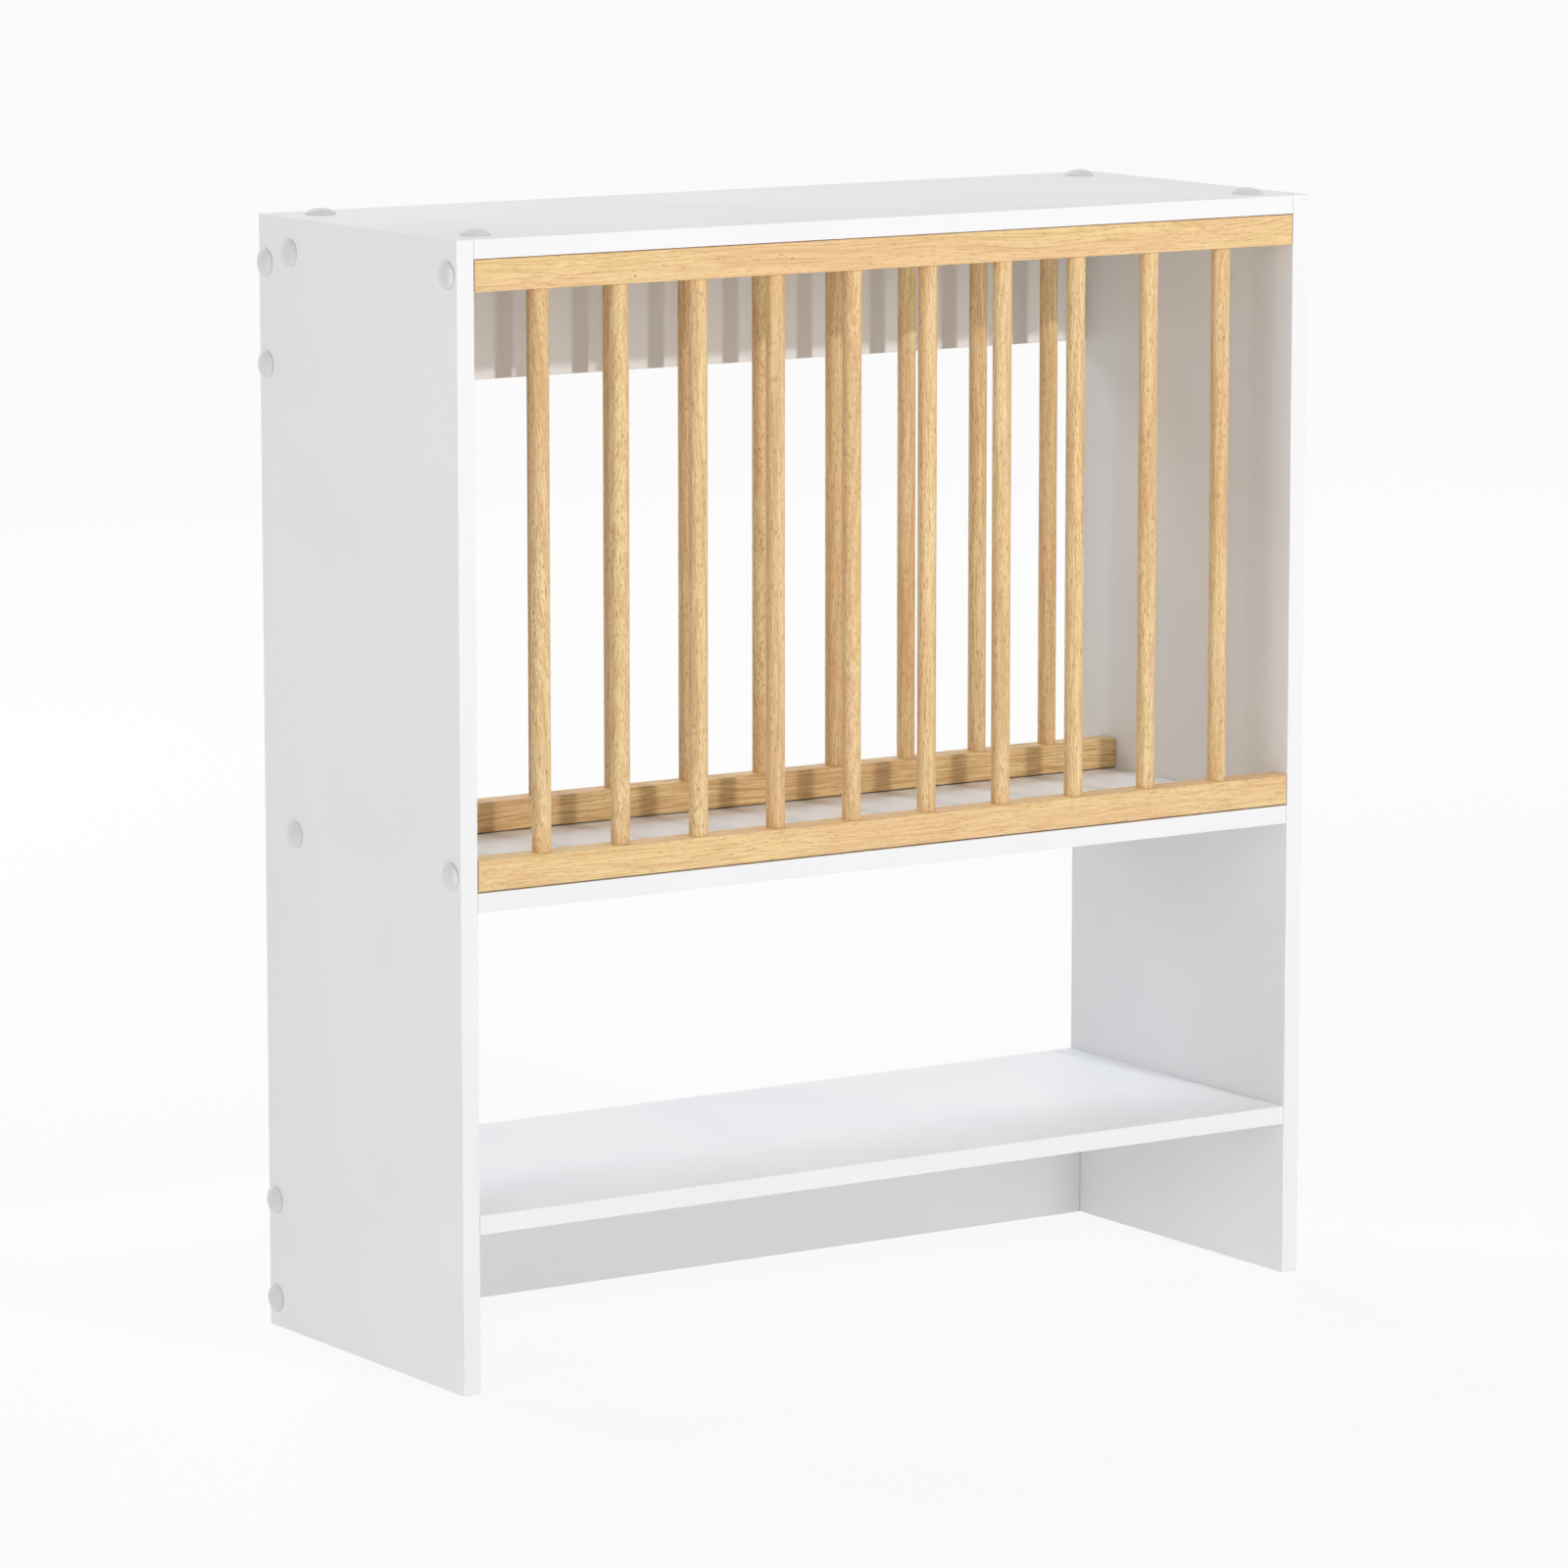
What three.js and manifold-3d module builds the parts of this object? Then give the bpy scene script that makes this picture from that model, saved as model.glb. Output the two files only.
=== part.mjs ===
// A free-standing dish drying cabinet: two side panels, a top, two shelves and two narrow back boards of
// white lacquered fibreboard, with two rows of rubberwood dowels between them that hold plates on edge.
// Millimetres, +Z up, front towards -Y. The origin is on the floor, at the middle of the base.

import * as THREE from "three";
import { mergeVertices } from "three/addons/utils/BufferGeometryUtils.js";
import Module from "manifold-3d";

const wasm = await Module();
wasm.setup();

// Driving dimensions of the cabinet
const WIDTH = 640;
const DEPTH = 240;
const BOARD = 12;
const UNDER_CLEAR = 100;
const STORAGE_CLEAR = 188;
const RACK_CLEAR = 386;
const BACK_BOARD_HEIGHT = 100;
const GAP = 0.3;

// Driving dimensions of the plate rack
const RAIL_HEIGHT = 20;
const RAIL_DEPTH = 18;
const REAR_RAIL_FRONT_FACE = 190;
const DOWELS_PER_ROW = 10;
const DOWEL_RADIUS = 6;
const DOWEL_SOCKET_DEPTH = 10;

// Driving dimensions of the capped screws through the side panels
const SCREW_LENGTH = 40;
const SCREW_RADIUS = 2;
const SCREW_TIP = 3;
const SCREW_HEAD_RADIUS = 4;
const SCREW_HEAD_DEPTH = 2.4;
const CAP_RADIUS = 9;
const CAP_HEIGHT = 4;
const CAP_RIM = 1;
const RAIL_SCREW_BEHIND_MIDDLE = 2.5;
const BACK_SCREW_FROM_BACK = 8;
const BACK_SCREW_SPACING = 64;

// Driving dimensions of the cam fittings that hold the top and the shelves to the side panels
const CAM_FROM_SIDE = 17;
const CAM_FROM_MIDDLE = 93;
const CAM_RADIUS = 7.2;
const CAM_DEPTH = 9.5;
const CAM_RECESS = 0.3;
const COVER_STEM_RADIUS = 2.5;
const BOLT_RADIUS = 2.2;
const BOLT_COLLAR_RADIUS = 3;
const BOLT_COLLAR_LENGTH = 2;
const BOLT_THREAD_RADIUS = 2.5;
const BOLT_THREAD_LENGTH = 8.5;

// How far a cut runs past a face, and a bar into the one that it is joined to
const PAST = 1;

// Number of flat facets round each kind of round piece
const DOWEL_FACETS = 16;
const FASTENER_FACETS = 12;
const DOME_STEPS = 3;

// Heights and places that follow from the driving dimensions
const LOWER_SHELF_TOP = UNDER_CLEAR + BOARD;
const RACK_SHELF_UNDER = LOWER_SHELF_TOP + STORAGE_CLEAR;
const RACK_SHELF_TOP = RACK_SHELF_UNDER + BOARD;
const TOP_UNDER = RACK_SHELF_TOP + RACK_CLEAR;
const HEIGHT = TOP_UNDER + BOARD;
const INNER_HALF = WIDTH / 2 - BOARD;
const FRONT = -DEPTH / 2;
const BACK = DEPTH / 2;
const BOTTOM_RAIL_TOP = RACK_SHELF_TOP + RAIL_HEIGHT;
const TOP_RAIL_UNDER = TOP_UNDER - RAIL_HEIGHT;
const FRONT_RAIL_Y = FRONT + RAIL_DEPTH / 2;
const REAR_RAIL_Y = FRONT + REAR_RAIL_FRONT_FACE + RAIL_DEPTH / 2;
const UPPER_BACK_BOARD_Z = TOP_UNDER - BACK_BOARD_HEIGHT / 2;
const LOWER_BACK_BOARD_Z = BACK_BOARD_HEIGHT / 2;

// Finishes
const whiteLacquer = () => new THREE.MeshStandardMaterial({ color: 0xf3f3f2, roughness: 0.4, metalness: 0 });
const rubberwood = () => new THREE.MeshStandardMaterial({ color: 0xdcb880, roughness: 0.55, metalness: 0 });
const whitePlastic = () => new THREE.MeshStandardMaterial({ color: 0xeeeeec, roughness: 0.3, metalness: 0 });
const zincSteel = () => new THREE.MeshStandardMaterial({ color: 0xb9bbbd, roughness: 0.35, metalness: 1 });

// Geometry to solid and back

function toSolid(geometry) {
  const bare = geometry.index ? geometry.toNonIndexed() : geometry.clone();
  bare.deleteAttribute("normal");
  bare.deleteAttribute("uv");
  const merged = mergeVertices(bare, 1e-4);
  const corners = [];
  for (let i = 0; i < merged.index.count; i += 3) {
    const a = merged.index.getX(i);
    const b = merged.index.getX(i + 1);
    const c = merged.index.getX(i + 2);
    if (a !== b && b !== c && c !== a) corners.push(a, b, c);
  }
  return new wasm.Manifold(
    new wasm.Mesh({
      numProp: 3,
      vertProperties: merged.getAttribute("position").array,
      triVerts: new Uint32Array(corners),
    }),
  );
}

function toGeometry(solid) {
  const mesh = solid.getMesh();
  const shared = new THREE.BufferGeometry();
  shared.setAttribute("position", new THREE.BufferAttribute(mesh.vertProperties, mesh.numProp));
  shared.setIndex(new THREE.BufferAttribute(mesh.triVerts, 1));
  const geometry = shared.toNonIndexed();
  geometry.computeVertexNormals();
  return geometry;
}

// A profile of [radius, height] points turned round the Z axis, from the axis at the bottom to the axis on top.
function turned(profile, facets) {
  const points = profile.map(([radius, height]) => new THREE.Vector2(radius, height));
  return new THREE.LatheGeometry(points, facets).rotateX(Math.PI / 2);
}

// A round bar along X between two stations.
function barAlongX(radius, from, to) {
  const bar = new THREE.CylinderGeometry(radius, radius, to - from, FASTENER_FACETS);
  return bar.rotateZ(Math.PI / 2).translate((from + to) / 2, 0, 0);
}

// Half of a dome's outline, from its rim to its crown, above a given height.
function domeOutline(base) {
  const outline = [];
  for (let step = 0; step <= DOME_STEPS; step += 1) {
    const angle = (step / DOME_STEPS) * (Math.PI / 2);
    const rise = (CAP_HEIGHT - CAP_RIM) * Math.sin(angle);
    outline.push([step === DOME_STEPS ? 0 : CAP_RADIUS * Math.cos(angle), base + CAP_RIM + rise]);
  }
  return outline;
}

// A countersunk screw with its domed cover cap. The cap is outwards, along +Z, and the panel's face is z = 0.
function cappedScrew() {
  const profile = [
    [0, -SCREW_LENGTH],
    [SCREW_RADIUS, -SCREW_LENGTH + SCREW_TIP],
    [SCREW_RADIUS, -SCREW_HEAD_DEPTH],
    [SCREW_HEAD_RADIUS, 0],
    [SCREW_HEAD_RADIUS, GAP],
    [CAP_RADIUS, GAP],
    ...domeOutline(GAP),
  ];
  return turned(profile, FASTENER_FACETS);
}

// The hole that the screw needs, in the same frame as the screw.
function screwHole() {
  const mouth = SCREW_HEAD_RADIUS + 1.5 * GAP;
  const profile = [
    [0, -SCREW_LENGTH - PAST],
    [SCREW_RADIUS + GAP, -SCREW_LENGTH - PAST],
    [SCREW_RADIUS + GAP, -SCREW_HEAD_DEPTH - GAP],
    [mouth, 0],
    [mouth, PAST],
    [0, PAST],
  ];
  return turned(profile, FASTENER_FACETS);
}

// Bars along X at the middle of the board's thickness, joined into one solid.
function joinedBars(bars) {
  return bars.map((bar) => toSolid(bar.translate(0, 0, -BOARD / 2))).reduce((all, one) => all.add(one));
}

// The bolt of a cam fitting, from the cam's axis along +X into the side panel: its neck, its collar, which
// seats on the side panel, and its thread.
function camBolt() {
  const seat = CAM_FROM_SIDE - GAP;
  const collarStart = seat - BOLT_COLLAR_LENGTH;
  return joinedBars([
    barAlongX(BOLT_RADIUS, 0, collarStart + PAST),
    barAlongX(BOLT_COLLAR_RADIUS, collarStart, seat),
    barAlongX(BOLT_THREAD_RADIUS, seat - PAST, CAM_FROM_SIDE + BOLT_THREAD_LENGTH),
  ]);
}

// The bore for that bolt, through the end of its board and into the side panel.
function camBoltBore() {
  return joinedBars([
    barAlongX(BOLT_COLLAR_RADIUS + GAP, 0, CAM_FROM_SIDE),
    barAlongX(BOLT_THREAD_RADIUS + GAP, CAM_FROM_SIDE - PAST, CAM_FROM_SIDE + BOLT_THREAD_LENGTH + GAP),
  ]);
}

// A cam fitting. The cam's face is towards +Z, and the board's face is z = 0. Where the face shows from above,
// a domed cover stands on it.
function camFitting(covered) {
  const cam = [
    [0, -CAM_DEPTH],
    [CAM_RADIUS, -CAM_DEPTH],
    [CAM_RADIUS, -CAM_RECESS],
  ];
  const cover = [[COVER_STEM_RADIUS, -CAM_RECESS], [COVER_STEM_RADIUS, GAP], [CAP_RADIUS, GAP], ...domeOutline(GAP)];
  const profile = covered ? [...cam, ...cover] : [...cam, [0, -CAM_RECESS]];
  return toGeometry(toSolid(turned(profile, FASTENER_FACETS)).add(camBolt()));
}

// The bores that a cam fitting needs, in the same frame as the fitting.
function camBores() {
  const bore = turned(
    [
      [0, -CAM_DEPTH - GAP],
      [CAM_RADIUS + GAP, -CAM_DEPTH - GAP],
      [CAM_RADIUS + GAP, PAST],
      [0, PAST],
    ],
    FASTENER_FACETS,
  );
  return toGeometry(toSolid(bore).add(camBoltBore()));
}

// Where each fastener sits: its name, its place, and the turns about X, Y and Z that aim it.

function screwPlaces() {
  const stations = [
    ["front_top_rail", FRONT_RAIL_Y + RAIL_SCREW_BEHIND_MIDDLE, TOP_UNDER - RAIL_HEIGHT / 2],
    ["front_bottom_rail", FRONT_RAIL_Y + RAIL_SCREW_BEHIND_MIDDLE, RACK_SHELF_TOP + RAIL_HEIGHT / 2],
    ["rear_top_rail", REAR_RAIL_Y + RAIL_SCREW_BEHIND_MIDDLE, TOP_UNDER - RAIL_HEIGHT / 2],
    ["rear_bottom_rail", REAR_RAIL_Y + RAIL_SCREW_BEHIND_MIDDLE, RACK_SHELF_TOP + RAIL_HEIGHT / 2],
  ];
  for (const [board, middle] of [["back_upper", UPPER_BACK_BOARD_Z], ["back_lower", LOWER_BACK_BOARD_Z]]) {
    stations.push([`${board}_high`, BACK - BACK_SCREW_FROM_BACK, middle + BACK_SCREW_SPACING / 2]);
    stations.push([`${board}_low`, BACK - BACK_SCREW_FROM_BACK, middle - BACK_SCREW_SPACING / 2]);
  }
  const places = [];
  for (const [side, sign] of [["left", -1], ["right", 1]]) {
    for (const [station, y, z] of stations) {
      const position = [(sign * WIDTH) / 2, y, z];
      places.push({ name: `${side}_screw_${station}`, position, turn: [0, (sign * Math.PI) / 2, 0] });
    }
  }
  return places;
}

function camPlaces() {
  const faces = [
    { board: "top", z: HEIGHT, up: true },
    { board: "rack_shelf", z: RACK_SHELF_UNDER, up: false },
    { board: "lower_shelf", z: UNDER_CLEAR, up: false },
  ];
  const places = [];
  for (const { board, z, up } of faces) {
    for (const [side, sign] of [["left", -1], ["right", 1]]) {
      for (const [end, y] of [["front", -CAM_FROM_MIDDLE], ["rear", CAM_FROM_MIDDLE]]) {
        const position = [sign * (INNER_HALF - CAM_FROM_SIDE), y, z];
        const turn = up ? [0, 0, sign < 0 ? Math.PI : 0] : [sign < 0 ? 0 : Math.PI, sign < 0 ? Math.PI : 0, 0];
        places.push({ name: `${board}_cam_${side}_${end}`, position, turn, covered: up });
      }
    }
  }
  return places;
}

function dowelPlaces() {
  const gap = (2 * INNER_HALF - DOWELS_PER_ROW * 2 * DOWEL_RADIUS) / (DOWELS_PER_ROW + 1);
  const pitch = gap + 2 * DOWEL_RADIUS;
  const places = [];
  for (const [row, y] of [["front", FRONT_RAIL_Y], ["rear", REAR_RAIL_Y]]) {
    for (let i = 0; i < DOWELS_PER_ROW; i += 1) {
      const number = String(i + 1).padStart(2, "0");
      places.push({ name: `${row}_dowel_${number}`, x: -INNER_HALF + gap + DOWEL_RADIUS + i * pitch, y });
    }
  }
  return places;
}

function dowelBar(radius, from, to) {
  const bar = new THREE.CylinderGeometry(radius, radius, to - from, DOWEL_FACETS).rotateX(Math.PI / 2);
  return bar.translate(0, 0, (from + to) / 2);
}

const socketFloor = BOTTOM_RAIL_TOP - DOWEL_SOCKET_DEPTH;
const socketCeiling = TOP_RAIL_UNDER + DOWEL_SOCKET_DEPTH;

// Every hole and bore of the cabinet as one solid, which each board and rail is cut by.
function allHoles() {
  const placed = (geometry, { position, turn }) => {
    const matrix = new THREE.Matrix4().makeRotationFromEuler(new THREE.Euler(...turn));
    return toSolid(geometry.clone().applyMatrix4(matrix.setPosition(...position)));
  };
  const screw = screwHole();
  const cam = camBores();
  const socket = dowelBar(DOWEL_RADIUS + GAP, socketFloor, socketCeiling);
  return [
    ...screwPlaces().map((place) => placed(screw, place)),
    ...camPlaces().map((place) => placed(cam, place)),
    ...dowelPlaces().map(({ x, y }) => toSolid(socket.clone().translate(x, y, 0))),
  ].reduce((all, one) => all.add(one));
}

const holes = allHoles();
const cabinet = new THREE.Group();

function addMesh(group, name, geometry, material) {
  const mesh = new THREE.Mesh(geometry, material);
  mesh.name = name;
  group.add(mesh);
  return mesh;
}

// A board or rail between two corners, cut by its holes.
function addBoard(group, name, low, high, material) {
  const size = high.map((value, axis) => value - low[axis]);
  const middle = high.map((value, axis) => (value + low[axis]) / 2);
  const block = new THREE.BoxGeometry(...size).translate(...middle);
  addMesh(group, name, toGeometry(toSolid(block).subtract(holes)), material);
}

// Side panels
const sides = new THREE.Group();
cabinet.add(sides);
addBoard(sides, "left_side_panel", [-WIDTH / 2, FRONT, 0], [-INNER_HALF, BACK, HEIGHT], whiteLacquer());
addBoard(sides, "right_side_panel", [INNER_HALF, FRONT, 0], [WIDTH / 2, BACK, HEIGHT], whiteLacquer());

// Boards that span between the side panels
const span = INNER_HALF - GAP;
const acrossBoards = new THREE.Group();
cabinet.add(acrossBoards);
addBoard(acrossBoards, "top_panel", [-span, FRONT, TOP_UNDER], [span, BACK, HEIGHT], whiteLacquer());
addBoard(acrossBoards, "rack_shelf", [-span, FRONT, RACK_SHELF_UNDER], [span, BACK, RACK_SHELF_TOP], whiteLacquer());
addBoard(acrossBoards, "lower_shelf", [-span, FRONT, UNDER_CLEAR], [span, BACK, LOWER_SHELF_TOP], whiteLacquer());
addBoard(
  acrossBoards,
  "back_upper_board",
  [-span, BACK - BOARD, TOP_UNDER - BACK_BOARD_HEIGHT],
  [span, BACK, TOP_UNDER - GAP],
  whiteLacquer(),
);
addBoard(
  acrossBoards,
  "back_lower_board",
  [-span, BACK - BOARD, 0],
  [span, BACK, BACK_BOARD_HEIGHT - GAP],
  whiteLacquer(),
);

// Plate rack: a top and a bottom rail in each row, and the dowels between them
const rack = new THREE.Group();
cabinet.add(rack);
for (const [row, y] of [["front", FRONT_RAIL_Y], ["rear", REAR_RAIL_Y]]) {
  const near = y - RAIL_DEPTH / 2;
  const far = y + RAIL_DEPTH / 2;
  addBoard(rack, `${row}_top_rail`, [-span, near, TOP_RAIL_UNDER], [span, far, TOP_UNDER - GAP], rubberwood());
  addBoard(rack, `${row}_bottom_rail`, [-span, near, RACK_SHELF_TOP + GAP], [span, far, BOTTOM_RAIL_TOP], rubberwood());
}
for (const { name, x, y } of dowelPlaces()) {
  const dowel = dowelBar(DOWEL_RADIUS, socketFloor + GAP, socketCeiling - GAP);
  addMesh(rack, name, dowel, rubberwood()).position.set(x, y, 0);
}

// Capped screws through the side panels into the rails and the back boards
const screws = new THREE.Group();
cabinet.add(screws);
for (const { name, position, turn } of screwPlaces()) {
  const screw = addMesh(screws, name, cappedScrew(), whitePlastic());
  screw.position.set(...position);
  screw.rotation.set(...turn);
}

// Cam fittings between the side panels and the top, the rack shelf and the lower shelf
const cams = new THREE.Group();
cabinet.add(cams);
for (const { name, position, turn, covered } of camPlaces()) {
  const fitting = addMesh(cams, name, camFitting(covered), covered ? whitePlastic() : zincSteel());
  fitting.position.set(...position);
  fitting.rotation.set(...turn);
}

export default cabinet;
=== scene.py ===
"""The looks of a free-standing dish drying cabinet: white boards round two rows of rubberwood dowels.

Metres, +Z up, the open front towards -Y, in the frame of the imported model.
"""

import logging
import math
from collections.abc import Iterable, Sequence
from dataclasses import dataclass, field
from enum import Enum

import bmesh
import bpy
from mathutils import Matrix, Vector


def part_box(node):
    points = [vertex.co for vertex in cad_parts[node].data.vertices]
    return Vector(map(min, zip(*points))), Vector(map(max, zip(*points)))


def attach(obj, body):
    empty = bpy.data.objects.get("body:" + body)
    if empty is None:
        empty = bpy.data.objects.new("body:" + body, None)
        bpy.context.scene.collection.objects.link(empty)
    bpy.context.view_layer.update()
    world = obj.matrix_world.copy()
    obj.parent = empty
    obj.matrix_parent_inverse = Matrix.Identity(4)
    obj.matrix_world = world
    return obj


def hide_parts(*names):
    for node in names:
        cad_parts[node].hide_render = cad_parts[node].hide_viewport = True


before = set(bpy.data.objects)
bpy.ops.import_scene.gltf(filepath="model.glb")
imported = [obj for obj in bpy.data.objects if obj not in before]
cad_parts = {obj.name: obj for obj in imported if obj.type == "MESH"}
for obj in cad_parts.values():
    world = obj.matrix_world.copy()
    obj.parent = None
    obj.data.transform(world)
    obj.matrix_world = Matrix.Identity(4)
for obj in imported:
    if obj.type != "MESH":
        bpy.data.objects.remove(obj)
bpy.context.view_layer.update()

LOG = logging.getLogger("drying_cabinet")
MM = 0.001
PHOTO_PIXELS = 1600
ROOT = "root"

# The attributes that hold a point's place in the timber and the turn of the copy on it.
GRAIN = "grain_place"
TURN = "turn"

# Corners nearer than this are joined, and edges sharper than this are drawn sharp.
WELD = 0.001 * MM
SHARP_FROM = math.radians(35)

# What a comparison of two shares leaves for rounding.
ROUNDING = 1e-5

# The middles of the two small knots in the front top rail's face, in millimetres.
RAIL_KNOTS = ((-79.1, -120.0, 687.6), (-193.5, -120.0, 682.3))

# The whole band of a share, from none to all.
WHOLE = (0.0, 1.0)

Socket = bpy.types.NodeSocket
Colour = tuple[float, float, float, float]


class Row(Enum):
    """The two rows of the plate rack, each with the seed of its timber."""

    FRONT = ("front", 3)
    REAR = ("rear", 11)

    @property
    def label(self) -> str:
        """Gives the row's name."""
        return self.value[0]

    @property
    def seed(self) -> int:
        """Gives the seed of the row's timber."""
        return self.value[1]


class Side(Enum):
    """The two sides of the cabinet, each with its direction along X."""

    LEFT = ("left", -1.0)
    RIGHT = ("right", 1.0)

    @property
    def label(self) -> str:
        """Gives the side's name."""
        return self.value[0]

    @property
    def way(self) -> float:
        """Gives the direction along X from the middle to the side."""
        return self.value[1]


class Slot(Enum):
    """The record's material slots."""

    BOARD = "white_board"
    WOOD = "rubberwood"
    CAP = "white_cap"
    FITTING = "zinc_fitting"


class LampShape(Enum):
    """The outlines that a lamp may have."""

    ROUND = "ELLIPSE"
    OBLONG = "RECTANGLE"


def linear(code: str) -> Colour:
    """Turns an sRGB hex colour into linear light.

    Args:
        code: The colour as "#rrggbb".

    Returns:
        Red, green, blue and an alpha of 1, in linear light.
    """
    parts = [int(code[i : i + 2], 16) / 255 for i in (1, 3, 5)]
    light = [v / 12.92 if v <= 0.04045 else ((v + 0.055) / 1.055) ** 2.4 for v in parts]
    return (light[0], light[1], light[2], 1.0)


def add_node(
    tree: bpy.types.NodeTree, kind: str, inputs: dict | None = None, **settings: object
) -> bpy.types.Node:
    """Adds a node with its settings and links.

    Args:
        tree: The tree that the node goes into.
        kind: Blender's name for the kind of node.
        inputs: What goes into each socket, by the socket's name or number: a value, an output socket that is
            linked to it, or a list of output sockets.
        **settings: The node's own properties.

    Returns:
        The new node.
    """
    node = tree.nodes.new(kind)
    for name, value in settings.items():
        setattr(node, name, value)
    for key, value in (inputs or {}).items():
        socket = node.inputs[key]
        for source in value if isinstance(value, list) else [value]:
            if isinstance(source, Socket):
                tree.links.new(source, socket)
            else:
                socket.default_value = source
    return node


def spread(
    tree: bpy.types.NodeTree, value: Socket, band: tuple[float, float], to: tuple[float, float]
) -> Socket:
    """Spreads a band of values over another band, with soft ends.

    Args:
        tree: The node tree of a material.
        value: The value to spread.
        band: The values that become the first and the last of the new band.
        to: The new band.

    Returns:
        The new value.
    """
    ends = {"Value": value, "From Min": band[0], "From Max": band[1], "To Min": to[0], "To Max": to[1]}
    return add_node(tree, "ShaderNodeMapRange", ends, interpolation_type="SMOOTHSTEP").outputs["Result"]


@dataclass(frozen=True)
class Finish:
    """A surface finish. Its sizes are in millimetres."""

    name: str

    def build(self) -> bpy.types.Material:
        """Makes the finish as a material.

        Returns:
            The material.
        """
        material = bpy.data.materials.new(self.name)
        material.use_nodes = True
        tree = material.node_tree
        tree.nodes.clear()
        shader = add_node(tree, "ShaderNodeBsdfPrincipled")
        self.paint(tree, shader)
        add_node(tree, "ShaderNodeOutputMaterial", {"Surface": shader.outputs["BSDF"]})
        return material

    def paint(self, tree: bpy.types.NodeTree, shader: bpy.types.Node) -> None:
        """Adds the finish's nodes before its shader.

        Args:
            tree: The material's node tree.
            shader: The Principled BSDF node.
        """
        raise NotImplementedError

    def scaled(self, tree: bpy.types.NodeTree, place: Socket, across: float, along: float) -> Socket:
        """Stretches a pattern's coordinates.

        Args:
            tree: The material's node tree.
            place: Coordinates in metres.
            across: The pattern's size along X and Y, in millimetres.
            along: The pattern's size along Z, in millimetres.

        Returns:
            Coordinates in which the pattern's size is 1.
        """
        stretch = (1 / (across * MM), 1 / (across * MM), 1 / (along * MM))
        return add_node(tree, "ShaderNodeVectorMath", {0: place, 1: stretch}, operation="MULTIPLY").outputs[0]

    def noise(
        self, tree: bpy.types.NodeTree, place: Socket, size: tuple[float, float], detail: float
    ) -> bpy.types.Node:
        """Makes noise of a given size.

        Args:
            tree: The material's node tree.
            place: Coordinates in metres.
            size: The pattern's size along X and Y, and along Z, in millimetres.
            detail: How many finer layers the noise has.

        Returns:
            The noise node, whose first output lies from 0 to 1 with its middle at 0.5.
        """
        stretched = self.scaled(tree, place, *size)
        return add_node(tree, "ShaderNodeTexNoise", {"Vector": stretched, "Scale": 1.0, "Detail": detail})

    def blend(
        self, tree: bpy.types.NodeTree, share: Socket, a: Socket | Colour, b: Socket | Colour
    ) -> Socket:
        """Mixes two colours.

        Args:
            tree: The material's node tree.
            share: How much of the second colour shows, from 0 to 1.
            a: The first colour.
            b: The second colour.

        Returns:
            The mixed colour.
        """
        mixed = add_node(tree, "ShaderNodeMix", {"Factor": share, 6: a, 7: b}, data_type="RGBA")
        return mixed.outputs[2]


@dataclass(frozen=True)
class SatinLacquer(Finish):
    """White pigmented lacquer, sprayed on fibreboard and cured to a satin.

    It gives an even, neutral white with a soft, wide sheen. The spray leaves a fine orange peel. The real
    peel is about 1 mm wide and is drawn at 3 mm, so that it shows.
    """

    colour: str = "#f0f0f0"
    shade: str = "#eeeeef"
    roughness: float = 0.42
    roughness_play: float = 0.03
    cloud: float = 140.0
    cloud_band: tuple[float, float] = (0.35, 0.65)
    peel: float = 3.0
    peel_height: float = 0.02
    peel_strength: float = 0.25

    def paint(self, tree: bpy.types.NodeTree, shader: bpy.types.Node) -> None:
        """Adds the lacquer's nodes.

        Args:
            tree: The material's node tree.
            shader: The Principled BSDF node.
        """
        place = add_node(tree, "ShaderNodeTexCoord").outputs["Object"]
        cloud = self.noise(tree, place, (self.cloud, self.cloud), 2.0)
        share = spread(tree, cloud.outputs[0], self.cloud_band, WHOLE)
        colour = self.blend(tree, share, linear(self.colour), linear(self.shade))
        tree.links.new(colour, shader.inputs["Base Color"])
        rough = (self.roughness - self.roughness_play, self.roughness + self.roughness_play)
        tree.links.new(spread(tree, share, WHOLE, rough), shader.inputs["Roughness"])
        peel = self.noise(tree, place, (self.peel, self.peel), 1.0)
        bump = {"Height": peel.outputs[0], "Strength": self.peel_strength, "Distance": self.peel_height * MM}
        tree.links.new(add_node(tree, "ShaderNodeBump", bump).outputs["Normal"], shader.inputs["Normal"])


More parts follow.
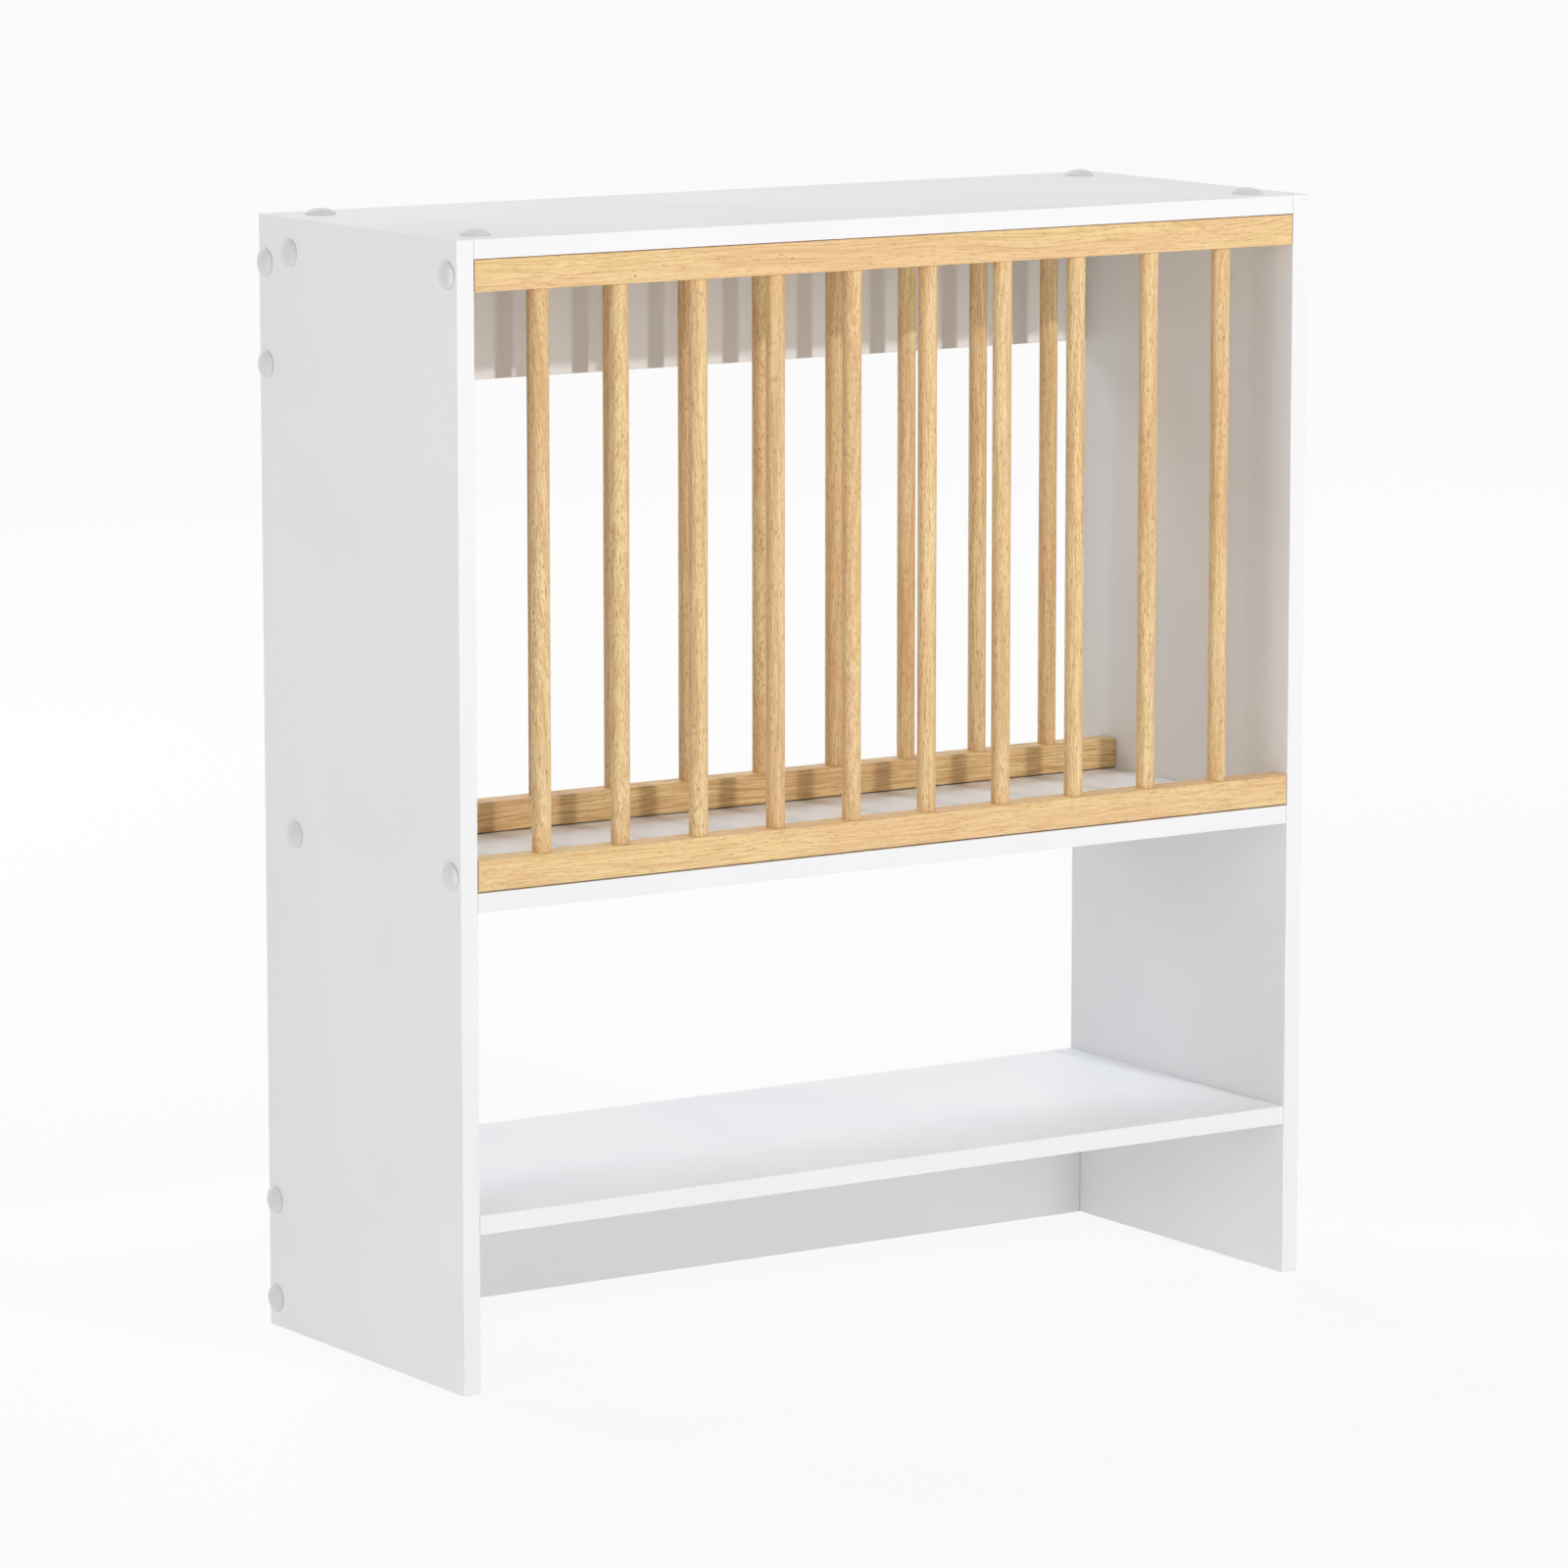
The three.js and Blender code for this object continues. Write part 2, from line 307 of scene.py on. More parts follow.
@dataclass(frozen=True)
class Rubberwood(Finish):
    """Rubberwood, planed or turned, under a thin clear satin lacquer.

    It gives a light honey colour, long streaks, wavy fibre lines and short darker vessel lines along the
    grain. The real fibre and vessel lines are 0.2 to 0.3 mm wide and are drawn at 0.6 to 0.9 mm, so that
    they show. The pattern follows the piece's own timber coordinates, whose Z runs along the grain.
    """

    light: str = "#edcf96"
    dark: str = "#cd9d67"
    pink: str = "#e8c092"
    vessel: str = "#a97742"
    knot: str = "#a06a3c"
    roughness: float = 0.5
    roughness_play: tuple[float, float] = (-0.05, 0.06)
    bend_size: tuple[float, float] = (22.0, 90.0)
    bend: float = 8.0
    tone_size: tuple[float, float] = (26.0, 190.0)
    tone_band: tuple[float, float] = (0.36, 0.64)
    tone_depth: float = 0.6
    streak_size: tuple[float, float] = (2.2, 130.0)
    streak_band: tuple[float, float] = (0.42, 0.64)
    streak_depth: float = 0.22
    fibre_size: tuple[float, float] = (0.85, 50.0)
    fibre_band: tuple[float, float] = (0.46, 0.66)
    fibre_depth: float = 0.5
    fibre_rough: float = 0.8
    vessel_size: tuple[float, float] = (0.7, 6.0)
    vessel_band: tuple[float, float] = (0.63, 0.74)
    vessel_share: float = 0.35
    vessel_depth: float = 0.05
    vessel_strength: float = 0.5
    knots: tuple[tuple[float, float, float], ...] = ()
    knot_radius: float = 1.3
    knot_core: float = 0.3
    knot_share: float = 0.65

    def paint(self, tree: bpy.types.NodeTree, shader: bpy.types.Node) -> None:
        """Adds the wood's nodes.

        Args:
            tree: The material's node tree.
            shader: The Principled BSDF node.
        """
        straight = add_node(tree, "ShaderNodeAttribute", attribute_name=GRAIN).outputs["Vector"]
        wave = self.noise(tree, straight, self.bend_size, 0.0)
        reach = self.bend * MM
        drift = add_node(
            tree,
            "ShaderNodeVectorMath",
            {0: wave.outputs["Color"], 1: (reach, reach, 0.0), 2: straight},
            operation="MULTIPLY_ADD",
        )
        place = drift.outputs[0]
        tone = self.noise(tree, place, self.tone_size, 1.0).outputs[0]
        streak = self.noise(tree, place, self.streak_size, 1.0).outputs[0]
        fibre = self.noise(tree, place, self.fibre_size, 1.0).outputs[0]
        vessel = self.noise(tree, place, self.vessel_size, 0.0).outputs[0]
        tone = spread(tree, tone, self.tone_band, (0.0, self.tone_depth))
        streak = spread(tree, streak, self.streak_band, (0.0, self.streak_depth))
        fibre = spread(tree, fibre, self.fibre_band, (0.0, self.fibre_depth))
        vessel = spread(tree, vessel, self.vessel_band, (0.0, self.vessel_share))
        colour = self.blend(tree, tone, linear(self.light), linear(self.pink))
        colour = self.blend(tree, streak, colour, linear(self.dark))
        colour = self.blend(tree, fibre, colour, linear(self.dark))
        colour = self.blend(tree, vessel, colour, linear(self.vessel))
        where = add_node(tree, "ShaderNodeTexCoord").outputs["Object"]
        knot_band = (self.knot_core * self.knot_radius * MM, self.knot_radius * MM)
        for spot in self.knots:
            away = add_node(
                tree, "ShaderNodeVectorMath", {0: where, 1: tuple(v * MM for v in spot)}, operation="DISTANCE"
            )
            near = spread(tree, away.outputs["Value"], knot_band, (self.knot_share, 0.0))
            colour = self.blend(tree, near, colour, linear(self.knot))
        tree.links.new(colour, shader.inputs["Base Color"])
        rough = tuple(self.roughness + play for play in self.roughness_play)
        tree.links.new(spread(tree, fibre, (0.0, self.fibre_rough), rough), shader.inputs["Roughness"])
        bump = {"Height": vessel, "Strength": self.vessel_strength, "Distance": self.vessel_depth * MM}
        grooves = add_node(tree, "ShaderNodeBump", bump, invert=True)
        tree.links.new(grooves.outputs["Normal"], shader.inputs["Normal"])


@dataclass(frozen=True)
class MouldedCap(Finish):
    """Moulded white polyethylene cover caps.

    They give a darker white than the lacquer, smoother, with a small clear highlight. The flow marks of the
    mould are as wide as a cap's radius and hardly show.
    """

    colour: str = "#e0e0e0"
    scuffed: str = "#dddddd"
    roughness: float = 0.3
    roughness_play: float = 0.08
    flow: float = 9.0
    flow_band: tuple[float, float] = (0.4, 0.65)

    def paint(self, tree: bpy.types.NodeTree, shader: bpy.types.Node) -> None:
        """Adds the plastic's nodes.

        Args:
            tree: The material's node tree.
            shader: The Principled BSDF node.
        """
        place = add_node(tree, "ShaderNodeTexCoord").outputs["Object"]
        flow = self.noise(tree, place, (self.flow, self.flow), 1.0)
        share = spread(tree, flow.outputs[0], self.flow_band, WHOLE)
        colour = self.blend(tree, share, linear(self.colour), linear(self.scuffed))
        tree.links.new(colour, shader.inputs["Base Color"])
        rough = (self.roughness, self.roughness + self.roughness_play)
        tree.links.new(spread(tree, share, WHOLE, rough), shader.inputs["Roughness"])


@dataclass(frozen=True)
class ZincPlate(Finish):
    """Bright zinc plate on steel screws and on die-cast cams.

    It gives a light, slightly bluish metal with a fine grain in its gloss. The real grain is under 0.1 mm
    wide and is drawn at 0.9 mm, so that it shows.
    """

    colour: str = "#c3c6c9"
    dull: str = "#a9abad"
    roughness: float = 0.34
    roughness_play: float = 0.14
    grain: float = 0.9
    grain_band: tuple[float, float] = (0.35, 0.65)

    def paint(self, tree: bpy.types.NodeTree, shader: bpy.types.Node) -> None:
        """Adds the zinc's nodes.

        Args:
            tree: The material's node tree.
            shader: The Principled BSDF node.
        """
        place = add_node(tree, "ShaderNodeTexCoord").outputs["Object"]
        grain = self.noise(tree, place, (self.grain, self.grain), 3.0)
        share = spread(tree, grain.outputs[0], self.grain_band, WHOLE)
        colour = self.blend(tree, share, linear(self.colour), linear(self.dull))
        tree.links.new(colour, shader.inputs["Base Color"])
        rough = (self.roughness, self.roughness + self.roughness_play)
        tree.links.new(spread(tree, share, WHOLE, rough), shader.inputs["Roughness"])
        shader.inputs["Metallic"].default_value = 1.0


class ShapeTree:
    """A Geometry Nodes tree with named inputs, which is run once to give a plain mesh."""

    def __init__(self, name: str) -> None:
        """Starts the tree.

        Args:
            name: The tree's name.
        """
        self.tree = bpy.data.node_groups.new(name, "GeometryNodeTree")
        face = self.tree.interface
        face.new_socket(name="Geometry", in_out="INPUT", socket_type="NodeSocketGeometry")
        face.new_socket(name="Geometry", in_out="OUTPUT", socket_type="NodeSocketGeometry")
        self.entry = add_node(self.tree, "NodeGroupInput")
        self.keys: dict[str, str] = {}

    def input(self, name: str, kind: str = "Float") -> Socket:
        """Adds a named input.

        Args:
            name: The input's name.
            kind: Its type: Float, Int, Vector or Material.

        Returns:
            The socket that gives its value inside the tree.
        """
        made = self.tree.interface.new_socket(name=name, in_out="INPUT", socket_type=f"NodeSocket{kind}")
        self.keys[name] = made.identifier
        return self.entry.outputs[name]

    def node(self, kind: str, inputs: dict | None = None, **settings: object) -> bpy.types.Node:
        """Adds a node of the given kind to the tree."""
        return add_node(self.tree, kind, inputs, **settings)

    def sum(self, *values: Socket | float) -> Socket:
        """Adds values up.

        Args:
            *values: Two or more sockets or numbers.

        Returns:
            Their sum.
        """
        total = values[0]
        for value in values[1:]:
            total = self.node("ShaderNodeMath", {0: total, 1: value}, operation="ADD").outputs[0]
        return total

    def times(self, a: Socket | float, b: Socket | float) -> Socket:
        """Multiplies two values."""
        return self.node("ShaderNodeMath", {0: a, 1: b}, operation="MULTIPLY").outputs[0]

    def point(self, x: Socket | float, y: Socket | float, z: Socket | float) -> Socket:
        """Makes a vector of three values."""
        return self.node("ShaderNodeCombineXYZ", {"X": x, "Y": y, "Z": z}).outputs["Vector"]

    def turned(self, outline: Sequence[tuple[Socket | float, Socket | float]], facets: Socket) -> Socket:
        """Turns an outline round Z into a closed shape.

        Args:
            outline: Corners as (radius, height), from the axis below to the axis above.
            facets: How many flat facets go round.

        Returns:
            The shape.
        """
        grid, way_round, way_up = self.sheet(facets, len(outline))
        row = self.node("ShaderNodeMath", {0: self.times(way_up, float(len(outline) - 1))}, operation="ROUND")
        corner = self.node("GeometryNodeIndexSwitch", {"Index": row.outputs[0]}, data_type="VECTOR")
        for _ in range(len(outline) - 2):
            corner.index_switch_items.new()
        for number, (radius, height) in enumerate(outline):
            self.tree.links.new(self.point(radius, 0.0, height), corner.inputs[number + 1])
        return self.wrapped(grid, corner.outputs[0], way_round)

    def sheet(self, facets: Socket, rows: Socket | int) -> tuple[Socket, Socket, Socket]:
        """Makes the flat grid that a turned shape is wrapped from.

        Args:
            facets: How many flat facets go round.
            rows: How many rows of corners lie above each other.

        Returns:
            The grid, and how far round and how far up each of its points is, from 0 to 1.
        """
        grid = self.node(
            "GeometryNodeMeshGrid",
            {"Size X": 1.0, "Size Y": 1.0, "Vertices X": self.sum(facets, 1.0), "Vertices Y": rows},
        )
        ways = self.node("ShaderNodeSeparateXYZ", {"Vector": grid.outputs["UV Map"]})
        return grid.outputs["Mesh"], ways.outputs["X"], ways.outputs["Y"]

    def wrapped(self, grid: Socket, corner: Socket, way_round: Socket) -> Socket:
        """Wraps a grid round Z into a closed shape.

        Args:
            grid: The grid.
            corner: The place of each point before it is turned round Z.
            way_round: How far round each point is turned, from 0 to 1.

        Returns:
            The shape.
        """
        angle = self.times(way_round, math.tau)
        place = self.node(
            "ShaderNodeVectorRotate", {"Vector": corner, "Angle": angle}, rotation_type="Z_AXIS"
        )
        moved = self.node(
            "GeometryNodeSetPosition", {"Geometry": grid, "Position": place.outputs["Vector"]}
        )
        return self.welded(moved.outputs[0])

    def welded(self, shape: Socket) -> Socket:
        """Joins the corners that lie on each other."""
        return self.node("GeometryNodeMergeByDistance", {"Geometry": shape, "Distance": WELD}).outputs[0]

    def cut(self, shape: Socket, cutters: list[Socket]) -> Socket:
        """Cuts shapes out of another.

        Args:
            shape: What is cut.
            cutters: What is taken away.

        Returns:
            What is left.
        """
        made = self.node(
            "GeometryNodeMeshBoolean",
            {"Mesh 1": shape, "Mesh 2": cutters},
            operation="DIFFERENCE",
            solver="EXACT",
        )
        return made.outputs["Mesh"]

    def copies(self, shape: Socket, places: Socket, turn: Socket | None = None) -> Socket:
        """Puts a copy of a shape on each point.

        Args:
            shape: The shape.
            places: The points.
            turn: How each copy is turned, or None.

        Returns:
            The copies, as instances.
        """
        inputs = {"Points": places, "Instance": shape}
        if turn is not None:
            inputs["Rotation"] = turn
        return self.node("GeometryNodeInstanceOnPoints", inputs).outputs[0]

    def stored_turn(self) -> Socket:
        """Reads how each point's copy is turned."""
        named = self.node("GeometryNodeInputNamedAttribute", {"Name": TURN}, data_type="FLOAT_VECTOR")
        return self.node("FunctionNodeEulerToRotation", {"Euler": named.outputs["Attribute"]}).outputs[0]

    def keep(self, shape: Socket, name: str, value: Socket, domain: str = "POINT") -> Socket:
        """Stores a vector on a shape.

        Args:
            shape: The shape.
            name: The attribute's name.
            value: The vector.
            domain: POINT or INSTANCE.

        Returns:
            The shape with its attribute.
        """
        made = self.node(
            "GeometryNodeStoreNamedAttribute",
            {"Geometry": shape, "Name": name, "Value": value},
            data_type="FLOAT_VECTOR",
            domain=domain,
        )
        return made.outputs[0]

    def close(self, shape: Socket) -> None:
        """Realizes the shape, gives it its finish and ends the tree.

        Args:
            shape: The whole shape.
        """
        real = self.node("GeometryNodeRealizeInstances", {"Geometry": shape})
        dressed = self.node(
            "GeometryNodeSetMaterial",
            {"Geometry": real.outputs[0], "Material": self.input("Finish", "Material")},
        )
        self.node("NodeGroupOutput", {"Geometry": dressed.outputs[0]})

    def run(self, name: str, base: bpy.types.Mesh, values: dict[str, object]) -> bpy.types.Mesh:
        """Runs the tree on a base mesh.

        Args:
            name: The new mesh's name.
            base: The points that the tree starts from.
            values: Each input's value, by the input's name.

        Returns:
            The plain mesh.
        """
        bench = on_bench(name, base)
        modifier = bench.modifiers.new("shape", "NODES")
        modifier.node_group = self.tree
        for key, value in values.items():
            modifier[self.keys[key]] = value
        return plain_mesh(bench, name)


def on_bench(name: str, mesh: bpy.types.Mesh) -> bpy.types.Object:
    """Puts a mesh into the scene for a while, so that modifiers can work on it.

    Args:
        name: The name of the piece that it becomes.
        mesh: The mesh.

    Returns:
        The object that carries the mesh.
    """
    bench = bpy.data.objects.new(f"{name}_bench", mesh)
    bpy.context.scene.collection.objects.link(bench)
    return bench


def evaluated(bench: bpy.types.Object, name: str) -> bpy.types.Mesh:
    """Takes the mesh that an object's modifiers give and removes the object.

    Args:
        bench: The object.
        name: The new mesh's name.

    Returns:
        The evaluated mesh.
    """
    graph = bpy.context.evaluated_depsgraph_get()
    mesh = bpy.data.meshes.new_from_object(
        bench.evaluated_get(graph), preserve_all_data_layers=True, depsgraph=graph
    )
    mesh.name = name
    bpy.data.objects.remove(bench)
    return mesh


def plain_mesh(bench: bpy.types.Object, name: str) -> bpy.types.Mesh:
    """Turns an object with modifiers into a plain mesh and removes the object.

    Args:
        bench: The object.
        name: The new mesh's name.

    Returns:
        The evaluated mesh, smooth-shaded but for its sharp edges.
    """
    mesh = evaluated(bench, name)
    if TURN in mesh.attributes:
        mesh.attributes.remove(mesh.attributes[TURN])
    mesh.shade_smooth()
    mesh.set_sharp_from_angle(angle=SHARP_FROM)
    return mesh


def points_mesh(name: str, places: Iterable[Vector], turns: Iterable[Vector] = ()) -> bpy.types.Mesh:
    """Makes a mesh of loose points for a tree to start from.

    Args:
        name: The mesh's name.
        places: Where the points are.
        turns: How the copy on each point is turned, as angles about X, Y and Z.

    Returns:
        The mesh.
    """
    mesh = bpy.data.meshes.new(name)
    mesh.from_pydata([tuple(p) for p in places], [], [])
    kept = mesh.attributes.new(TURN, "FLOAT_VECTOR", "POINT")
    for item, turn in zip(kept.data, turns):
        item.vector = turn
    return mesh


def add_piece(name: str, mesh: bpy.types.Mesh, nodes: Iterable[str]) -> bpy.types.Object:
    """Puts a finished mesh into the scene as a piece of the cabinet.

    Args:
        name: The piece's name.
        mesh: Its mesh, in place.
        nodes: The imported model's nodes that it stands for.

    Returns:
        The piece.
    """
    made = bpy.data.objects.new(name, mesh)
    bpy.context.scene.collection.objects.link(made)
    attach(made, ROOT)
    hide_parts(*nodes)
    LOG.info("%s: %d faces", name, len(mesh.polygons))
    return made


def middle(node: str) -> Vector:
    """Gives the middle of a node's box."""
    low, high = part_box(node)
    return (low + high) / 2


def lathe(
    shell: bmesh.types.BMesh, outline: Sequence[tuple[float, float]], facets: int, place: Matrix
) -> None:
    """Adds a turned shell to a mesh.

    Args:
        shell: The mesh.
        outline: Corners as (radius, height), from the axis below to the axis above.
        facets: How many flat facets go round.
        place: Where the shell goes.
    """
    rings = []
    for radius, height in outline:
        count = facets if radius > 0 else 1
        angles = [math.tau * k / facets for k in range(count)]
        corners = [Vector((radius * math.cos(a), radius * math.sin(a), height)) for a in angles]
        rings.append([shell.verts.new(place @ corner) for corner in corners])
    for below, above in zip(rings, rings[1:]):
        for k in range(facets):
            after = (k + 1) % facets
            loop = [below[k % len(below)], below[after % len(below)], above[after % len(above)]]
            loop.append(above[k % len(above)])
            shell.faces.new(dict.fromkeys(loop))


def finished_shell(shell: bmesh.types.BMesh, name: str) -> bpy.types.Mesh:
    """Turns a mesh under construction into a mesh of its own.

    Args:
        shell: The mesh under construction, which is freed.
        name: The new mesh's name.

    Returns:
        The mesh.
    """
    mesh = bpy.data.meshes.new(name)
    shell.to_mesh(mesh)
    shell.free()
    return mesh


@dataclass
class CappedScrews:
    """The screws through the side panels, each under a domed cover cap."""

    cap_finish: bpy.types.Material
    screw_finish: bpy.types.Material
    cap_radius: float = 9.0 * MM
    cap_rim: float = 0.5 * MM
    cap_rise: float = 3.5 * MM
    cap_lip: float = 0.25 * MM
    cap_round: float = 1.35
    cap_facets: int = 64
    dome_steps: int = 10
    screw_length: float = 40.0 * MM
    shank_radius: float = 1.9 * MM
    core_radius: float = 1.35 * MM
    thread_height: float = 0.6 * MM
    thread_pitch: float = 1.8 * MM
    thread_start: float = -13.0 * MM
    tip_length: float = 4.0 * MM
    head_radius: float = 4.0 * MM
    head_depth: float = 2.4 * MM
    screw_facets: int = 12
    screw_rows: int = 92
    # The screw holes, with the room round a head and under it, and how far a cutter reaches past a face.
    hole_radius: float = 2.2 * MM
    hole_facets: int = 24
    head_room: float = 0.3 * MM
    neck_room: float = 0.2 * MM
    past: float = 1.0 * MM
    stations: tuple[str, ...] = (
        "front_top_rail",
        "front_bottom_rail",
        "rear_top_rail",
        "rear_bottom_rail",
        "back_upper_high",
        "back_upper_low",
        "back_lower_high",
        "back_lower_low",
    )

    def nodes(self, side: Side) -> list[str]:
        """Gives the nodes of one side's capped screws."""
        return [f"{side.label}_screw_{station}" for station in self.stations]

    def places(self, side: Side) -> list[Vector]:
        """Gives the points where one side's screws meet the panel's outer face.

        Args:
            side: The side.

        Returns:
            The points, in the order of the side's nodes.
        """
        low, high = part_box(f"{side.label}_side_panel")
        face = low.x if side is Side.LEFT else high.x
        return [Vector((face, middle(node).y, middle(node).z)) for node in self.nodes(side)]

    def turn(self, side: Side) -> Vector:
        """Gives the turn that points +Z out of one side."""
        return Vector((0.0, side.way * math.pi / 2, 0.0))

    def cap_tree(self) -> ShapeTree:
        """Builds the tree that sets a domed cap on each point.

        Returns:
            The tree.
        """
        tree = ShapeTree("domed_caps")
        radius, rim = tree.input("Radius"), tree.input("Rim")
        rise, lip = tree.input("Rise"), tree.input("Lip")
        facets = tree.input("Facets", "Int")
        foot = tree.sum(radius, tree.times(lip, -1.0))
        outline = [(0.0, 0.0), (foot, 0.0), (radius, tree.sum(rim, tree.times(lip, -1.0)))]
        for step in range(self.dome_steps + 1):
            angle = step / self.dome_steps * math.pi / 2
            across = tree.times(radius, math.cos(angle)) if step < self.dome_steps else 0.0
            outline.append((across, tree.sum(rim, tree.times(rise, math.sin(angle) ** self.cap_round))))
        shape = tree.turned(outline, facets)
        tree.close(tree.copies(shape, tree.entry.outputs["Geometry"], tree.stored_turn()))
        return tree

    def screw_tree(self) -> ShapeTree:
        """Builds the tree that sets a countersunk wood screw in each point.

        Returns:
            The tree.
        """
        tree = ShapeTree("countersunk_screws")
        length, pitch = tree.input("Length"), tree.input("Pitch")
        shank, core = tree.input("Shank radius"), tree.input("Core radius")
        thread, start = tree.input("Thread height"), tree.input("Thread start")
        tip, head = tree.input("Tip length"), tree.input("Head radius")
        depth = tree.input("Head depth")
        facets, rows = tree.input("Facets", "Int"), tree.input("Rows", "Int")
        grid, way_round, way_up = tree.sheet(facets, rows)
        row = tree.times(way_up, tree.sum(rows, -1.0))
        share = tree.node("ShaderNodeMath", {0: row, 1: tree.sum(rows, -2.0)}, operation="DIVIDE")
        climb = tree.node("ShaderNodeMath", {0: share.outputs[0], 1: 1.0}, operation="MINIMUM").outputs[0]
        height = tree.times(tree.sum(climb, -1.0), length)
        turns = tree.node("ShaderNodeMath", {0: height, 1: pitch}, operation="DIVIDE").outputs[0]
        wave = tree.node(
            "ShaderNodeMath",
            {0: tree.sum(turns, tree.times(way_round, -1.0)), 1: 0.5},
            operation="PINGPONG",
        )
        threaded = tree.sum(core, tree.times(thread, tree.times(wave.outputs[0], 2.0)))
        plain = tree.node("ShaderNodeMath", {0: height, 1: start}, operation="GREATER_THAN").outputs[0]
        body = tree.node("ShaderNodeMix", {"Factor": plain, 2: threaded, 3: shank}).outputs[0]
        point_end = tree.node(
            "ShaderNodeMapRange",
            {"Value": tree.sum(height, length), "From Max": tip, "To Min": 0.0, "To Max": 1.0},
        )
        cone = tree.node(
            "ShaderNodeMapRange",
            {"Value": tree.sum(height, depth), "From Max": depth, "To Min": shank, "To Max": head},
            clamp=False,
        )
        radius = tree.node(
            "ShaderNodeMath",
            {0: tree.times(body, point_end.outputs[0]), 1: cone.outputs[0]},
            operation="MAXIMUM",
        )
        in_side = tree.node("ShaderNodeMath", {0: share.outputs[0], 1: 1.0 + ROUNDING}, operation="LESS_THAN")
        flat = tree.times(radius.outputs[0], in_side.outputs[0])
        shape = tree.wrapped(grid, tree.point(flat, 0.0, height), way_round)
        tree.close(tree.copies(shape, tree.entry.outputs["Geometry"], tree.stored_turn()))
        return tree

    def cap_values(self) -> dict[str, object]:
        """Gives the cap tree's inputs.

        Returns:
            Each input's value, by the input's name.
        """
        return {
            "Radius": self.cap_radius,
            "Rim": self.cap_rim,
            "Rise": self.cap_rise,
            "Lip": self.cap_lip,
            "Facets": self.cap_facets,
            "Finish": self.cap_finish,
        }

    def cutters(self) -> bpy.types.Mesh:
        """Makes the holes of all the screws as closed shells.

        Returns:
            One mesh.
        """
        shell = bmesh.new()
        mouth = self.head_radius + self.head_room
        outline = [
            (0.0, -self.screw_length - self.past),
            (self.hole_radius, -self.screw_length - self.past),
            (self.hole_radius, -self.head_depth - self.neck_room),
            (mouth, 0.0),
            (mouth, self.past),
            (0.0, self.past),
        ]
        for side in Side:
            turn = Matrix.Rotation(self.turn(side).y, 4, "Y")
            for place in self.places(side):
                lathe(shell, outline, self.hole_facets, Matrix.Translation(place) @ turn)
        return finished_shell(shell, "screw_holes")

    def build(self) -> None:
        """Makes the caps and the screws of both sides."""
        caps, screws = self.cap_tree(), self.screw_tree()
        screw_values = {
            "Length": self.screw_length,
            "Pitch": self.thread_pitch,
            "Shank radius": self.shank_radius,
            "Core radius": self.core_radius,
            "Thread height": self.thread_height,
            "Thread start": self.thread_start,
            "Tip length": self.tip_length,
            "Head radius": self.head_radius,
            "Head depth": self.head_depth,
            "Facets": self.screw_facets,
            "Rows": self.screw_rows,
            "Finish": self.screw_finish,
        }
        for side in Side:
            places, nodes = self.places(side), self.nodes(side)
            turns = [self.turn(side)] * len(places)
            name = f"{side.label}_side"
            base = points_mesh(f"{name}_screw_places", places, turns)
            add_piece(f"{name}_caps", caps.run(f"{name}_caps", base, self.cap_values()), nodes)
            shafts = screws.run(f"{name}_screws", base, screw_values)
            add_piece(f"{name}_screws", shafts, nodes)


@dataclass(frozen=True)
class CamSpot:
    """Where a cam fitting sits: its node, the middle of its cam's face and its turn."""

    node: str
    place: Vector
    turn: Vector


